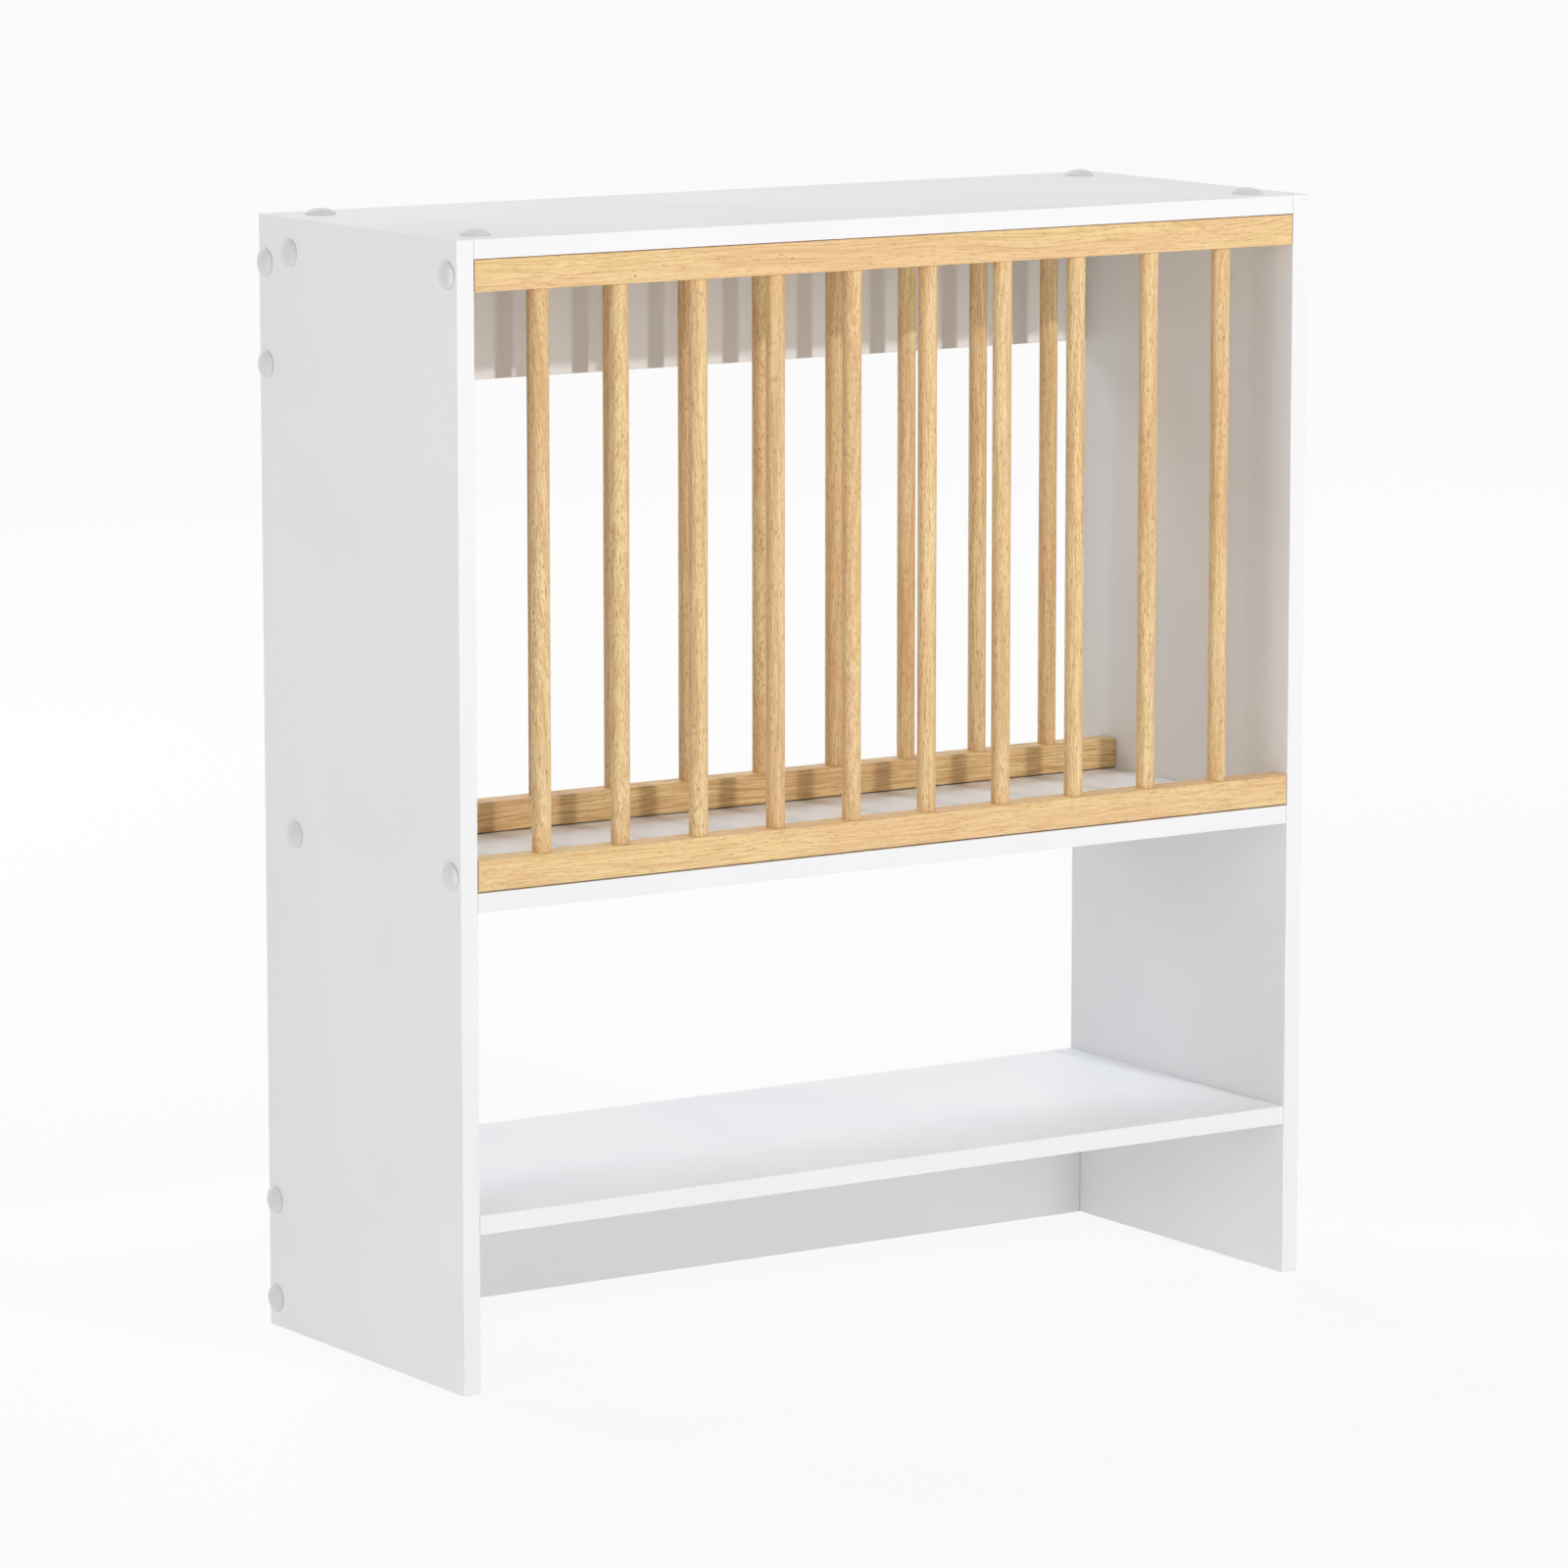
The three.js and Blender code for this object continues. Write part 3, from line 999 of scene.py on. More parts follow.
@dataclass
class CamFittings:
    """The cam fittings that hold the top and both shelves to the side panels."""

    finish: bpy.types.Material
    caps: CappedScrews
    cam_radius: float = 7.2 * MM
    cam_depth: float = 9.5 * MM
    recess: float = 0.3 * MM
    chamfer: float = 0.5 * MM
    slot_width: float = 1.5 * MM
    slot_length: float = 8.0 * MM
    slot_depth: float = 3.2 * MM
    from_side: float = 17.0 * MM
    bolt_axis: float = 6.0 * MM
    bolt_radius: float = 2.2 * MM
    # Where the bolt begins, as a share of the cam's radius.
    bolt_start: float = 0.9
    bolt_bore_facets: int = 24
    collar_radius: float = 3.0 * MM
    collar_length: float = 2.0 * MM
    thread_radius: float = 2.5 * MM
    thread_length: float = 8.5 * MM
    # The gap from a board's end to the side panel, and the room round each fitting.
    board_gap: float = 0.3 * MM
    room: float = 0.2 * MM
    past: float = 1.0 * MM
    facets: int = 48
    cover_radius: float = 10.0 * MM
    boards: tuple[tuple[str, str], ...] = (
        ("top", "top_panel"),
        ("rack_shelf", "rack_shelf"),
        ("lower_shelf", "lower_shelf"),
    )

    def spots(self) -> list[CamSpot]:
        """Finds the place and the turn of every fitting.

        The top panel's cams are set from above, and the shelves' cams from below. Each bolt points to its
        own side panel.

        Returns:
            The fittings' spots.
        """
        found = []
        for prefix, board in self.boards:
            low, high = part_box(board)
            from_above = prefix == "top"
            for side in Side:
                x = side.way * (high.x + self.board_gap - self.from_side)
                left = side is Side.LEFT
                if from_above:
                    turn = Vector((0.0, 0.0, math.pi if left else 0.0))
                else:
                    turn = Vector((0.0, math.pi, 0.0) if left else (math.pi, 0.0, 0.0))
                for end in ("front", "rear"):
                    node = f"{prefix}_cam_{side.label}_{end}"
                    place = Vector((x, middle(node).y, high.z if from_above else low.z))
                    found.append(CamSpot(node, place, turn))
        return found

    def cam_tree(self) -> ShapeTree:
        """Builds the tree that sets a slotted cam and its bolt in each point.

        Returns:
            The tree.
        """
        tree = ShapeTree("cam_fittings")
        radius, depth, recess = tree.input("Cam radius"), tree.input("Cam depth"), tree.input("Recess")
        chamfer = tree.input("Chamfer")
        facets = tree.input("Facets", "Int")
        slot_size, reach = tree.input("Slot size", "Vector"), tree.input("From side")
        axis, bolt = tree.input("Bolt axis"), tree.input("Bolt radius")
        collar, collar_length = tree.input("Collar radius"), tree.input("Collar length")
        thread, thread_length = tree.input("Thread radius"), tree.input("Thread length")
        top = tree.times(recess, -1.0)
        inner = tree.sum(radius, tree.times(chamfer, -1.0))
        floor = tree.times(depth, -1.0)
        disc = tree.turned(
            [
                (0.0, floor),
                (inner, floor),
                (radius, tree.sum(floor, chamfer)),
                (radius, tree.sum(top, tree.times(chamfer, -1.0))),
                (inner, top),
                (0.0, top),
            ],
            facets,
        )
        slot = tree.node("GeometryNodeMeshCube", {"Size": slot_size}).outputs["Mesh"]
        slots = []
        for angle in (math.pi / 4, -math.pi / 4):
            moved = tree.node(
                "GeometryNodeTransform",
                {"Geometry": slot, "Translation": tree.point(0.0, 0.0, top), "Rotation": (0.0, 0.0, angle)},
            )
            slots.append(moved.outputs[0])
        cam = tree.cut(tree.cut(disc, [slots[0]]), [slots[1]])
        seat = tree.sum(reach, tree.times(collar_length, -1.0))
        end = tree.sum(reach, thread_length)
        start = tree.times(radius, self.bolt_start)
        bar = tree.turned(
            [
                (0.0, start),
                (bolt, start),
                (bolt, seat),
                (collar, seat),
                (collar, reach),
                (thread, reach),
                (thread, end),
                (0.0, end),
            ],
            facets,
        )
        laid = tree.node(
            "GeometryNodeTransform",
            {
                "Geometry": bar,
                "Translation": tree.point(0.0, 0.0, tree.times(axis, -1.0)),
                "Rotation": (0.0, math.pi / 2, 0.0),
            },
        )
        shape = tree.node("GeometryNodeJoinGeometry", {"Geometry": [cam, laid.outputs[0]]}).outputs[0]
        tree.close(tree.copies(shape, tree.entry.outputs["Geometry"], tree.stored_turn()))
        return tree

    def cutters(self) -> list[bpy.types.Mesh]:
        """Makes the bores of the cams and of the bolts as closed shells.

        Returns:
            One mesh for the cams and one for the bolts.
        """
        cams, bolts = bmesh.new(), bmesh.new()
        wide, below = self.cam_radius + self.room, -self.cam_depth - self.room
        cam = [(0.0, below), (wide, below), (wide, self.past), (0.0, self.past)]
        end = self.from_side + self.thread_length + self.room
        collar, thread = self.collar_radius + self.room, self.thread_radius + self.room
        bolt = [(0.0, 0.0), (collar, 0.0), (collar, self.from_side), (thread, self.from_side)]
        bolt += [(thread, end), (0.0, end)]
        along_x = Matrix.Translation((0.0, 0.0, -self.bolt_axis)) @ Matrix.Rotation(math.pi / 2, 4, "Y")
        for spot in self.spots():
            there = Matrix.Translation(spot.place)
            for angle, name in zip(spot.turn, "XYZ"):
                there = there @ Matrix.Rotation(angle, 4, name)
            lathe(cams, cam, self.facets, there)
            lathe(bolts, bolt, self.bolt_bore_facets, there @ along_x)
        return [finished_shell(cams, "cam_bores"), finished_shell(bolts, "bolt_bores")]

    def build(self) -> None:
        """Makes the fittings, and the covers of those in the top panel."""
        spots = self.spots()
        values = {
            "Cam radius": self.cam_radius,
            "Cam depth": self.cam_depth,
            "Recess": self.recess,
            "Chamfer": self.chamfer,
            "Facets": self.facets,
            "Slot size": (self.slot_length, self.slot_width, 2 * self.slot_depth),
            "From side": self.from_side,
            "Bolt axis": self.bolt_axis,
            "Bolt radius": self.bolt_radius,
            "Collar radius": self.collar_radius,
            "Collar length": self.collar_length,
            "Thread radius": self.thread_radius,
            "Thread length": self.thread_length,
            "Finish": self.finish,
        }
        base = points_mesh("cam_places", [spot.place for spot in spots], [spot.turn for spot in spots])
        fittings = self.cam_tree().run("cam_fittings", base, values)
        add_piece("cam_fittings", fittings, [spot.node for spot in spots])
        top = [spot for spot in spots if spot.node.startswith("top_")]
        covers = points_mesh("cover_places", [spot.place for spot in top], [spot.turn for spot in top])
        cover_values = self.caps.cap_values() | {"Radius": self.cover_radius}
        domes = self.caps.cap_tree().run("top_covers", covers, cover_values)
        add_piece("top_covers", domes, [spot.node for spot in top])


@dataclass
class Carcass:
    """The seven white boards."""

    finish: bpy.types.Material
    cutters: list[bpy.types.Mesh]
    arris: float = 0.45 * MM
    arris_steps: int = 3
    # How far a board's ends reach into the gap to the side panels, so that only a fine seam is left.
    reach: float = 0.15 * MM
    boards: dict[str, str] = field(
        default_factory=lambda: {
            "side_board_left": "left_side_panel",
            "side_board_right": "right_side_panel",
            "top_board": "top_panel",
            "rack_shelf_board": "rack_shelf",
            "lower_shelf_board": "lower_shelf",
            "upper_back_board": "back_upper_board",
            "lower_back_board": "back_lower_board",
        }
    )

    def blank(self, name: str, low: Vector, high: Vector) -> bpy.types.Mesh:
        """Makes a board with eased edges and no holes.

        Args:
            name: The mesh's name.
            low: The board's lowest corner.
            high: The board's highest corner.

        Returns:
            The mesh.
        """
        solid = bmesh.new()
        place = Matrix.Translation((low + high) / 2) @ Matrix.Diagonal((*(high - low), 1.0))
        bmesh.ops.create_cube(solid, size=1.0, matrix=place)
        bmesh.ops.bevel(
            solid,
            geom=solid.edges[:],
            offset=self.arris,
            segments=self.arris_steps,
            profile=0.5,
            affect="EDGES",
            clamp_overlap=True,
        )
        return finished_shell(solid, name)

    def drilled(self, name: str, node: str, tools: list[bpy.types.Object]) -> bpy.types.Mesh:
        """Makes a board with the holes of its fasteners.

        Args:
            name: The mesh's name.
            node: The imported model's node of the board.
            tools: Objects in the shape of the holes.

        Returns:
            The mesh, with even shading on its faces.
        """
        low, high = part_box(node)
        longer = Vector((0.0 if name.startswith("side") else self.reach, 0.0, 0.0))
        bench = on_bench(name, self.blank(name, low - longer, high + longer))
        for tool in tools:
            cut = bench.modifiers.new(tool.name, "BOOLEAN")
            cut.operation = "DIFFERENCE"
            cut.solver = "EXACT"
            cut.object = tool
        bench = on_bench(name, plain_mesh(bench, name))
        even = bench.modifiers.new("even_shading", "WEIGHTED_NORMAL")
        even.keep_sharp = True
        return evaluated(bench, name)

    def build(self) -> None:
        """Makes every board, cut by the holes of its fasteners."""
        tools = [bpy.data.objects.new(mesh.name, mesh) for mesh in self.cutters]
        for tool in tools:
            bpy.context.scene.collection.objects.link(tool)
        for name, node in self.boards.items():
            mesh = self.drilled(name, node, tools)
            mesh.materials.clear()
            mesh.materials.append(self.finish)
            add_piece(name, mesh, [node])
        for tool in tools:
            bpy.data.objects.remove(tool)


@dataclass
class PlateRack:
    """Two rows of rubberwood dowels, each between a top and a bottom rail."""

    finish: bpy.types.Material
    turned: bpy.types.Material
    figured: bpy.types.Material
    count: int = 10
    grain_slant: float = math.radians(9)
    dowel_chamfer: float = 1.0 * MM
    dowel_facets: int = 48
    socket_room: float = 0.06 * MM
    socket_depth: float = 10.0 * MM
    arris: float = 0.7 * MM
    arris_steps: int = 3
    # The seams at a rail's ends, under a bottom rail and over a top rail.
    end_seam: float = 0.4 * MM
    low_seam: float = 0.5 * MM
    top_seam: float = 0.15 * MM
    pilot_radius: float = 2.2 * MM
    pilot_depth: float = 29.0 * MM
    pilot_facets: int = 24
    # How far apart in the timber the pieces are cut, in metres: a dowel at most, a rail for each step of its
    # row's seed, and a bottom rail from the top rail.
    timber_shift: float = 4.0
    rail_shift: float = 0.1
    low_rail_shift: float = 0.9

    def dowel_nodes(self, row: Row) -> list[str]:
        """Gives the nodes of one row's dowels."""
        return [f"{row.label}_dowel_{k + 1:02d}" for k in range(self.count)]

    def dowel_tree(self) -> ShapeTree:
        """Builds the tree that stands a row of dowels, each from its own piece of timber.

        Returns:
            The tree.
        """
        tree = ShapeTree("dowel_row")
        count = tree.input("Count", "Int")
        first, pitch = tree.input("First", "Vector"), tree.input("Pitch", "Vector")
        radius, length, chamfer = tree.input("Radius"), tree.input("Length"), tree.input("Chamfer")
        facets, seed = tree.input("Facets", "Int"), tree.input("Seed", "Int")
        small = tree.sum(radius, tree.times(chamfer, -1.0))
        shoulder = tree.sum(length, tree.times(chamfer, -1.0))
        dowel = tree.turned(
            [(0.0, 0.0), (small, 0.0), (radius, chamfer), (radius, shoulder), (small, length), (0.0, length)],
            facets,
        )
        dowel = tree.keep(dowel, GRAIN, tree.node("GeometryNodeInputPosition").outputs[0])
        feet = tree.node(
            "GeometryNodeMeshLine", {"Count": count, "Start Location": first, "Offset": pitch}, mode="OFFSET"
        )
        row = tree.copies(dowel, feet.outputs["Mesh"])
        farthest = Vector((1.0, 1.0, 1.0)) * self.timber_shift
        shift = tree.node(
            "FunctionNodeRandomValue",
            {"Min": -farthest, "Max": farthest, "Seed": seed},
            data_type="FLOAT_VECTOR",
        )
        slant = tree.input("Grain slant")
        turn = tree.node(
            "FunctionNodeRandomValue",
            {
                "Min": tree.point(0.0, tree.times(slant, -1.0), 0.0),
                "Max": tree.point(math.tau, slant, 0.0),
                "Seed": tree.sum(seed, 1.0),
            },
            data_type="FLOAT_VECTOR",
        )
        row = tree.keep(row, "shift", shift.outputs[0], "INSTANCE")
        row = tree.keep(row, "spin", turn.outputs[0], "INSTANCE")
        row = tree.node("GeometryNodeRealizeInstances", {"Geometry": row}).outputs[0]
        kept = {
            name: tree.node("GeometryNodeInputNamedAttribute", {"Name": name}, data_type="FLOAT_VECTOR")
            for name in (GRAIN, "shift", "spin")
        }
        angle = tree.node("ShaderNodeSeparateXYZ", {"Vector": kept["spin"].outputs["Attribute"]})
        spun = tree.node(
            "ShaderNodeVectorRotate",
            {"Vector": kept[GRAIN].outputs["Attribute"], "Angle": angle.outputs["X"]},
            rotation_type="Z_AXIS",
        )
        spun = tree.node(
            "ShaderNodeVectorRotate",
            {"Vector": spun.outputs["Vector"], "Angle": angle.outputs["Y"]},
            rotation_type="X_AXIS",
        )
        timber = tree.node(
            "ShaderNodeVectorMath",
            {0: spun.outputs["Vector"], 1: kept["shift"].outputs["Attribute"]},
            operation="ADD",
        )
        row = tree.keep(row, GRAIN, timber.outputs["Vector"])
        for name in ("shift", "spin"):
            row = tree.node("GeometryNodeRemoveAttribute", {"Geometry": row, "Name": name}).outputs[0]
        tree.close(row)
        return tree

    def rail_tree(self) -> ShapeTree:
        """Builds the tree that makes a rail with eased edges, its dowel sockets and its screws' pilot holes.

        Returns:
            The tree.
        """
        tree = ShapeTree("socketed_rail")
        shift = tree.input("Timber", "Vector")
        size = tree.input("Size", "Vector")
        bar = self.rail_bar(tree, size)
        drills = [self.socket_drills(tree), *self.pilot_drills(tree, size)]
        rail = tree.cut(bar, drills)
        position = tree.node("GeometryNodeInputPosition").outputs[0]
        here = tree.node("ShaderNodeSeparateXYZ", {"Vector": position})
        along = tree.point(here.outputs["Y"], here.outputs["Z"], here.outputs["X"])
        timber = tree.node("ShaderNodeVectorMath", {0: along, 1: shift}, operation="ADD")
        tree.close(tree.keep(rail, GRAIN, timber.outputs["Vector"]))
        return tree

    def rail_bar(self, tree: ShapeTree, size: Socket) -> Socket:
        """Adds a rail's bar with eased edges and no holes.

        Args:
            tree: The rail's tree.
            size: The rail's length, depth and height.

        Returns:
            The bar, in place.
        """
        start = tree.input("Start", "Vector")
        arris, arris_steps = tree.input("Arris"), tree.input("Arris steps", "Int")
        sizes = tree.node("ShaderNodeSeparateXYZ", {"Vector": size}).outputs
        section = tree.node(
            "GeometryNodeCurvePrimitiveQuadrilateral", {"Width": sizes["Y"], "Height": sizes["Z"]}
        )
        eased = tree.node(
            "GeometryNodeFilletCurve",
            {"Curve": section.outputs[0], "Radius": arris, "Count": arris_steps},
            mode="POLY",
        )
        line = tree.node(
            "GeometryNodeCurvePrimitiveLine",
            {"Start": (0.0, 0.0, 0.0), "End": tree.point(sizes["X"], 0.0, 0.0)},
        )
        bar = tree.node(
            "GeometryNodeCurveToMesh",
            {"Curve": line.outputs[0], "Profile Curve": eased.outputs[0], "Fill Caps": True},
        )
        placed = tree.node(
            "GeometryNodeTransform", {"Geometry": tree.welded(bar.outputs[0]), "Translation": start}
        )
        return placed.outputs[0]

    def socket_drills(self, tree: ShapeTree) -> Socket:
        """Adds the shapes of a rail's dowel sockets, each twice as deep so that it reaches out of the rail.

        Args:
            tree: The rail's tree.

        Returns:
            The shapes, in place.
        """
        count, facets = tree.input("Count", "Int"), tree.input("Facets", "Int")
        first, pitch = tree.input("First", "Vector"), tree.input("Pitch", "Vector")
        radius, depth = tree.input("Socket radius"), tree.input("Socket depth")
        feet = tree.node(
            "GeometryNodeMeshLine", {"Count": count, "Start Location": first, "Offset": pitch}, mode="OFFSET"
        )
        drill = tree.node(
            "GeometryNodeMeshCylinder",
            {"Vertices": facets, "Radius": radius, "Depth": tree.times(depth, 2.0)},
        )
        copies = tree.copies(drill.outputs["Mesh"], feet.outputs["Mesh"])
        return tree.node("GeometryNodeRealizeInstances", {"Geometry": copies}).outputs[0]

    def pilot_drills(self, tree: ShapeTree, size: Socket) -> list[Socket]:
        """Adds the shapes of the pilot holes in a rail's ends, each twice as deep so that it reaches out.

        Args:
            tree: The rail's tree.
            size: The rail's length, depth and height.

        Returns:
            The shapes at the left and at the right end, in place.
        """
        radius, depth = tree.input("Pilot radius"), tree.input("Pilot depth")
        pilot = tree.input("Pilot", "Vector")
        sizes = tree.node("ShaderNodeSeparateXYZ", {"Vector": size}).outputs
        drill = tree.node(
            "GeometryNodeMeshCylinder",
            {"Vertices": self.pilot_facets, "Radius": radius, "Depth": tree.times(depth, 2.0)},
        )
        pilots = []
        for end in (0.0, 1.0):
            where = tree.node(
                "ShaderNodeVectorMath",
                {0: pilot, 1: tree.point(tree.times(sizes["X"], end), 0.0, 0.0)},
                operation="ADD",
            )
            bored = tree.node(
                "GeometryNodeTransform",
                {
                    "Geometry": drill.outputs["Mesh"],
                    "Translation": where.outputs[0],
                    "Rotation": (0.0, math.pi / 2, 0.0),
                },
            )
            pilots.append(bored.outputs[0])
        return pilots

    def build(self) -> None:
        """Makes both rows."""
        dowels, rails = self.dowel_tree(), self.rail_tree()
        nothing = points_mesh("rack_bench", [])
        for row in Row:
            name, nodes = row.label, self.dowel_nodes(row)
            low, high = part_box(nodes[0])
            first = Vector((middle(nodes[0]).x, middle(nodes[0]).y, low.z))
            pitch = middle(nodes[1]) - middle(nodes[0])
            radius = (high.x - low.x) / 2
            values = {
                "Count": self.count,
                "First": first,
                "Pitch": pitch,
                "Radius": radius,
                "Length": high.z - low.z,
                "Chamfer": self.dowel_chamfer,
                "Facets": self.dowel_facets,
                "Seed": row.seed,
                "Grain slant": self.grain_slant,
                "Finish": self.turned,
            }
            add_piece(f"{name}_dowels", dowels.run(f"{name}_dowels", nothing, values), nodes)
            for end in ("top", "bottom"):
                node = f"{name}_{end}_rail"
                rail_low, rail_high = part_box(node)
                rail_low.x += self.end_seam
                rail_high.x -= self.end_seam
                if end == "bottom":
                    rail_low.z += self.low_seam
                else:
                    rail_high.z -= self.top_seam
                screw = middle(f"left_screw_{node}")
                mouth = rail_high.z if end == "bottom" else rail_low.z
                values = {
                    "Start": (rail_low.x, middle(node).y, (rail_low.z + rail_high.z) / 2),
                    "Size": rail_high - rail_low,
                    "Arris": self.arris,
                    "Arris steps": self.arris_steps,
                    "Count": self.count,
                    "First": (first.x, first.y, mouth),
                    "Pitch": pitch,
                    "Socket radius": radius + self.socket_room,
                    "Socket depth": self.socket_depth,
                    "Pilot radius": self.pilot_radius,
                    "Pilot depth": self.pilot_depth,
                    "Pilot": (rail_low.x, screw.y, screw.z),
                    "Facets": self.dowel_facets,
                    "Timber": (self.rail_shift * row.seed, 0.0, 0.0 if end == "top" else self.low_rail_shift),
                    "Finish": self.finish if row is Row.FRONT else self.figured,
                }
                mesh = rails.run(f"{name}_rack_{end}_rail", nothing, values)
                add_piece(f"{name}_rack_{end}_rail", mesh, [node])


@dataclass(frozen=True)
class Softbox:
    """A flat lamp that is turned to the cabinet. Its sizes are in metres and its power in watts."""

    name: str
    place: Vector
    width: float
    height: float
    power: float
    colour: str = "#ffffff"
    shape: LampShape = LampShape.OBLONG


@dataclass
class Studio:
    """A plain pale floor, a white surround, seven lamps and the camera. Angles are in degrees."""

    camera_place: Vector = Vector((-2.623, -3.963, 1.088))
    camera_turn: float = -33.44
    camera_tilt: float = 8.98
    focal_pixels: float = 7640.0
    sensor_width: float = 36.0
    farthest_seen: float = 100.0
    lamps: tuple[Softbox, ...] = (
        Softbox("key_lamp", Vector((0.50, -2.75, 1.535)), 0.07, 0.07, 26.5, shape=LampShape.ROUND),
        Softbox("front_strip", Vector((0.50, -2.75, 0.70)), 0.35, 1.3, 12.2),
        Softbox("left_box", Vector((-3.2, -1.6, 1.2)), 1.6, 1.6, 22.5),
        Softbox("top_box", Vector((0.0, -0.6, 3.2)), 1.8, 1.8, 8.0),
        Softbox("rear_box", Vector((0.0, 2.4, 2.2)), 2.0, 1.4, 55.0, "#f3f9ff"),
        Softbox("side_box", Vector((-3.4, 0.2, 0.9)), 1.6, 1.6, 17.5),
        Softbox("right_box", Vector((3.4, 0.3, 1.0)), 1.6, 1.6, 22.0),
    )
    lamp_target: Vector = Vector((0.0, 0.0, 0.40))
    # The surround's light at the horizon, what it gains straight up, and how white it looks.
    surround: float = 0.144
    surround_slope: float = 0.144
    white: float = 0.974
    floor_half: float = 60.0
    floor_paint: str = "#616161"
    # The floor's light in front and behind, and the places along Y between which it changes.
    floor_glow: tuple[float, float] = (0.77, 0.46)
    floor_turn: tuple[float, float] = (-0.2, 0.6)
    # How white the floor looks near and far, and the distances between which it changes.
    floor_white: tuple[float, float] = (0.861, 0.933)
    lamp_pool: tuple[float, float] = (1.5, 4.0)

    def camera(self) -> None:
        """Sets the camera where the photograph was taken from."""
        data = bpy.data.cameras.new("camera")
        data.sensor_width = self.sensor_width
        data.lens = self.focal_pixels * self.sensor_width / PHOTO_PIXELS
        data.clip_end = self.farthest_seen
        made = bpy.data.objects.new("camera", data)
        made.location = self.camera_place
        made.rotation_euler = (math.radians(90 - self.camera_tilt), 0.0, math.radians(self.camera_turn))
        bpy.context.scene.collection.objects.link(made)
        bpy.context.scene.camera = made

    def hang(self, box: Softbox) -> None:
        """Hangs a lamp, which leaves no bright spot on a glossy surface and which the camera doesn't see.

        Args:
            box: The lamp.
        """
        data = bpy.data.lights.new(box.name, "AREA")
        data.shape = box.shape.value
        data.size, data.size_y, data.energy = box.width, box.height, box.power
        data.color = linear(box.colour)[:3]
        made = bpy.data.objects.new(box.name, data)
        made.location = box.place
        made.rotation_mode = "QUATERNION"
        made.rotation_quaternion = (self.lamp_target - box.place).to_track_quat("-Z", "Y")
        made.visible_camera = False
        made.visible_glossy = False
        bpy.context.scene.collection.objects.link(made)

    def seen_directly(self, tree: bpy.types.NodeTree) -> Socket:
        """Tells whether a ray comes from the camera, a gloss or a glass.

        Args:
            tree: A material's or the world's node tree.

        Returns:
            1 for such a ray, and 0 for light that falls on something.
        """
        path = add_node(tree, "ShaderNodeLightPath")
        seen = path.outputs["Is Camera Ray"]
        for name in ("Is Glossy Ray", "Is Transmission Ray"):
            either = {0: seen, 1: path.outputs[name]}
            seen = add_node(tree, "ShaderNodeMath", either, operation="MAXIMUM").outputs[0]
        return seen

    def glowing(self, tree: bpy.types.NodeTree, kind: str, strength: Socket | float) -> Socket:
        """Adds a shader that gives off white light.

        Args:
            tree: A material's or the world's node tree.
            kind: Blender's name for the kind of node.
            strength: How bright it is, where 1 is white.

        Returns:
            The shader.
        """
        return add_node(tree, kind, {"Color": linear("#ffffff"), "Strength": strength}).outputs[0]

    def world(self) -> None:
        """Lights the cabinet from all round, more from above, before a white background."""
        made = bpy.data.worlds.new("white_surround")
        made.use_nodes = True
        tree = made.node_tree
        tree.nodes.clear()
        way = add_node(tree, "ShaderNodeTexCoord").outputs["Generated"]
        up = add_node(tree, "ShaderNodeSeparateXYZ", {0: way}).outputs["Z"]
        slope = {0: up, 1: self.surround_slope, 2: self.surround}
        level = add_node(tree, "ShaderNodeMath", slope, operation="MULTIPLY_ADD").outputs[0]
        fill = self.glowing(tree, "ShaderNodeBackground", level)
        back = self.glowing(tree, "ShaderNodeBackground", self.white)
        both = add_node(tree, "ShaderNodeMixShader", {0: self.seen_directly(tree), 1: fill, 2: back})
        add_node(tree, "ShaderNodeOutputWorld", {"Surface": both.outputs[0]})
        bpy.context.scene.world = made

    def floor(self) -> None:
        """Lays the pale floor, a light table that looks as white as the background but for a faint shadow.

        It looks a little less bright where the lamps' light falls, so that the sum is even, and it lights
        the cabinet more from the front than from behind.
        """
        half = self.floor_half
        mesh = bpy.data.meshes.new("floor")
        corners = [(-half, -half, 0.0), (half, -half, 0.0), (half, half, 0.0), (-half, half, 0.0)]
        mesh.from_pydata(corners, [], [(0, 1, 2, 3)])
        material = bpy.data.materials.new("pale_light_table")
        material.use_nodes = True
        tree = material.node_tree
        tree.nodes.clear()
        paint = add_node(tree, "ShaderNodeBsdfDiffuse", {"Color": linear(self.floor_paint)})
        place = add_node(tree, "ShaderNodeTexCoord").outputs["Object"]
        behind = add_node(tree, "ShaderNodeSeparateXYZ", {0: place}).outputs["Y"]
        level = spread(tree, behind, self.floor_turn, self.floor_glow)
        glow = self.glowing(tree, "ShaderNodeEmission", level)
        away = add_node(tree, "ShaderNodeVectorMath", {0: place}, operation="LENGTH")
        level = spread(tree, away.outputs["Value"], self.lamp_pool, self.floor_white)
        look = self.glowing(tree, "ShaderNodeEmission", level)
        both = add_node(tree, "ShaderNodeMixShader", {0: self.seen_directly(tree), 1: glow, 2: look})
        white = add_node(tree, "ShaderNodeAddShader", {0: paint.outputs[0], 1: both.outputs[0]})
        add_node(tree, "ShaderNodeOutputMaterial", {"Surface": white.outputs[0]})
        mesh.materials.append(material)
        made = bpy.data.objects.new("floor", mesh)
        bpy.context.scene.collection.objects.link(made)

    def build(self) -> None:
        """Sets up the camera, the lamps, the surround and the floor."""
        self.camera()
        for box in self.lamps:
            self.hang(box)
        self.world()
        self.floor()
        bpy.context.scene.view_settings.view_transform = "Standard"


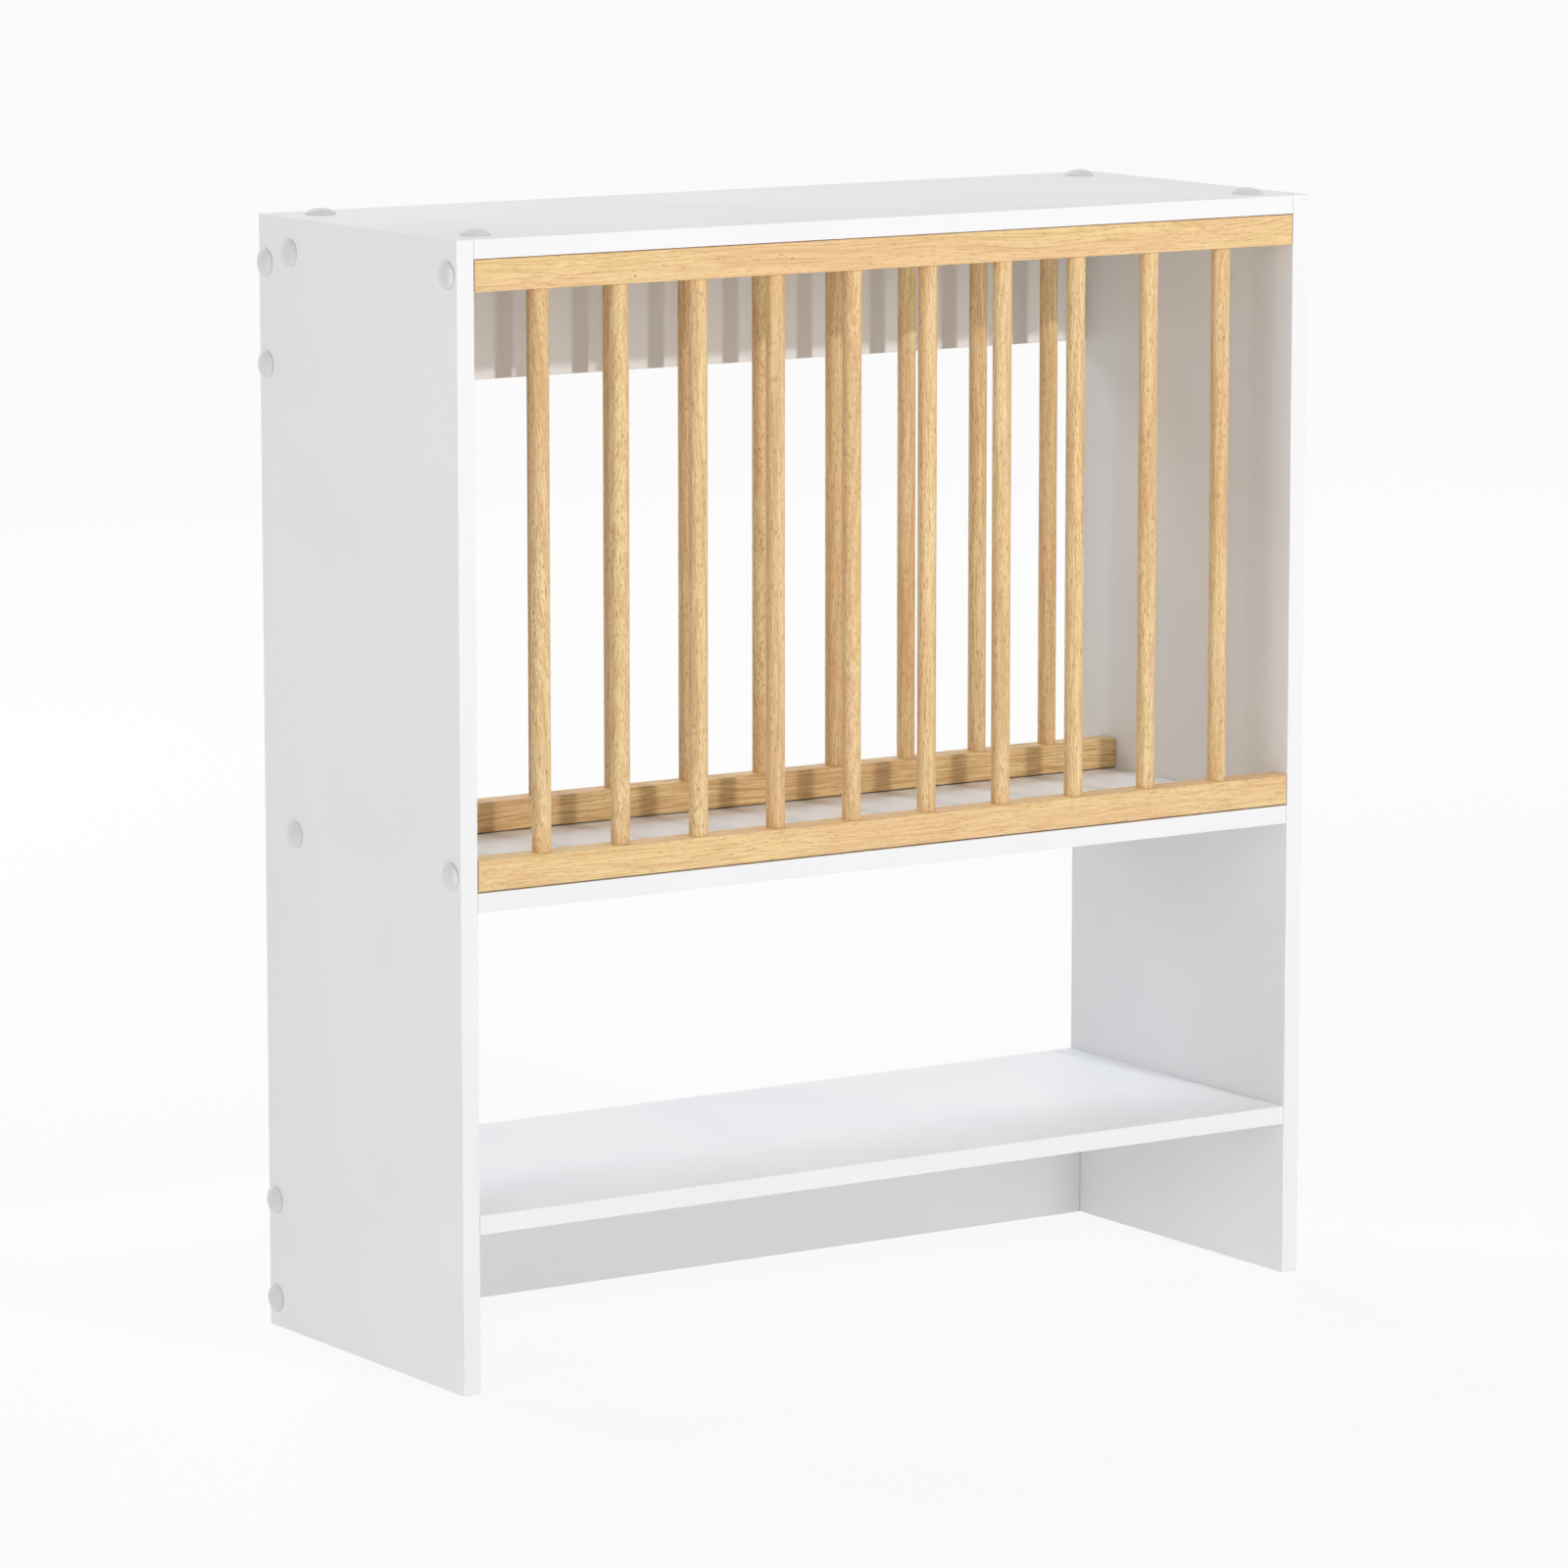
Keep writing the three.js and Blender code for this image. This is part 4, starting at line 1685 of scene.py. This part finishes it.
def wood_cuts() -> tuple[Rubberwood, Rubberwood, Rubberwood]:
    """Gives the three cuts of rubberwood that the rack shows.

    The front rails are calm boards with small knots. The turned dowels cut through the grain, so that their
    vessel lines are shorter and plainer and their pinkish tone is deeper. The rear rails are darker and more
    figured.

    Returns:
        The finishes of the front rails, of the dowels and of the rear rails.
    """
    calm = Rubberwood("lacquered_rubberwood", knots=RAIL_KNOTS)
    turned = Rubberwood(
        "turned_rubberwood",
        light="#eed3a0",
        dark="#c4935f",
        pink="#dfb684",
        streak_size=(2.6, 110.0),
        streak_depth=0.34,
        fibre_size=(0.8, 32.0),
        fibre_depth=0.42,
        vessel_size=(0.6, 4.5),
        vessel_band=(0.61, 0.72),
        vessel_share=0.55,
    )
    figured = Rubberwood("figured_rubberwood", dark="#c18b52", streak_size=(1.6, 60.0), streak_depth=0.5)
    return calm, turned, figured


def main() -> None:
    """Builds the cabinet's sub-assemblies and the studio round them."""
    logging.basicConfig(level=logging.INFO, format="%(name)s: %(message)s")
    lacquer = SatinLacquer("satin_lacquered_fibreboard").build()
    plastic = MouldedCap("moulded_polyethylene").build()
    zinc = ZincPlate("zinc_plated_steel").build()
    screws = CappedScrews(plastic, zinc)
    cams = CamFittings(zinc, screws)
    Carcass(lacquer, [screws.cutters(), *cams.cutters()]).build()
    PlateRack(*(cut.build() for cut in wood_cuts())).build()
    screws.build()
    cams.build()
    Studio().build()


if __name__ == "__main__":
    main()
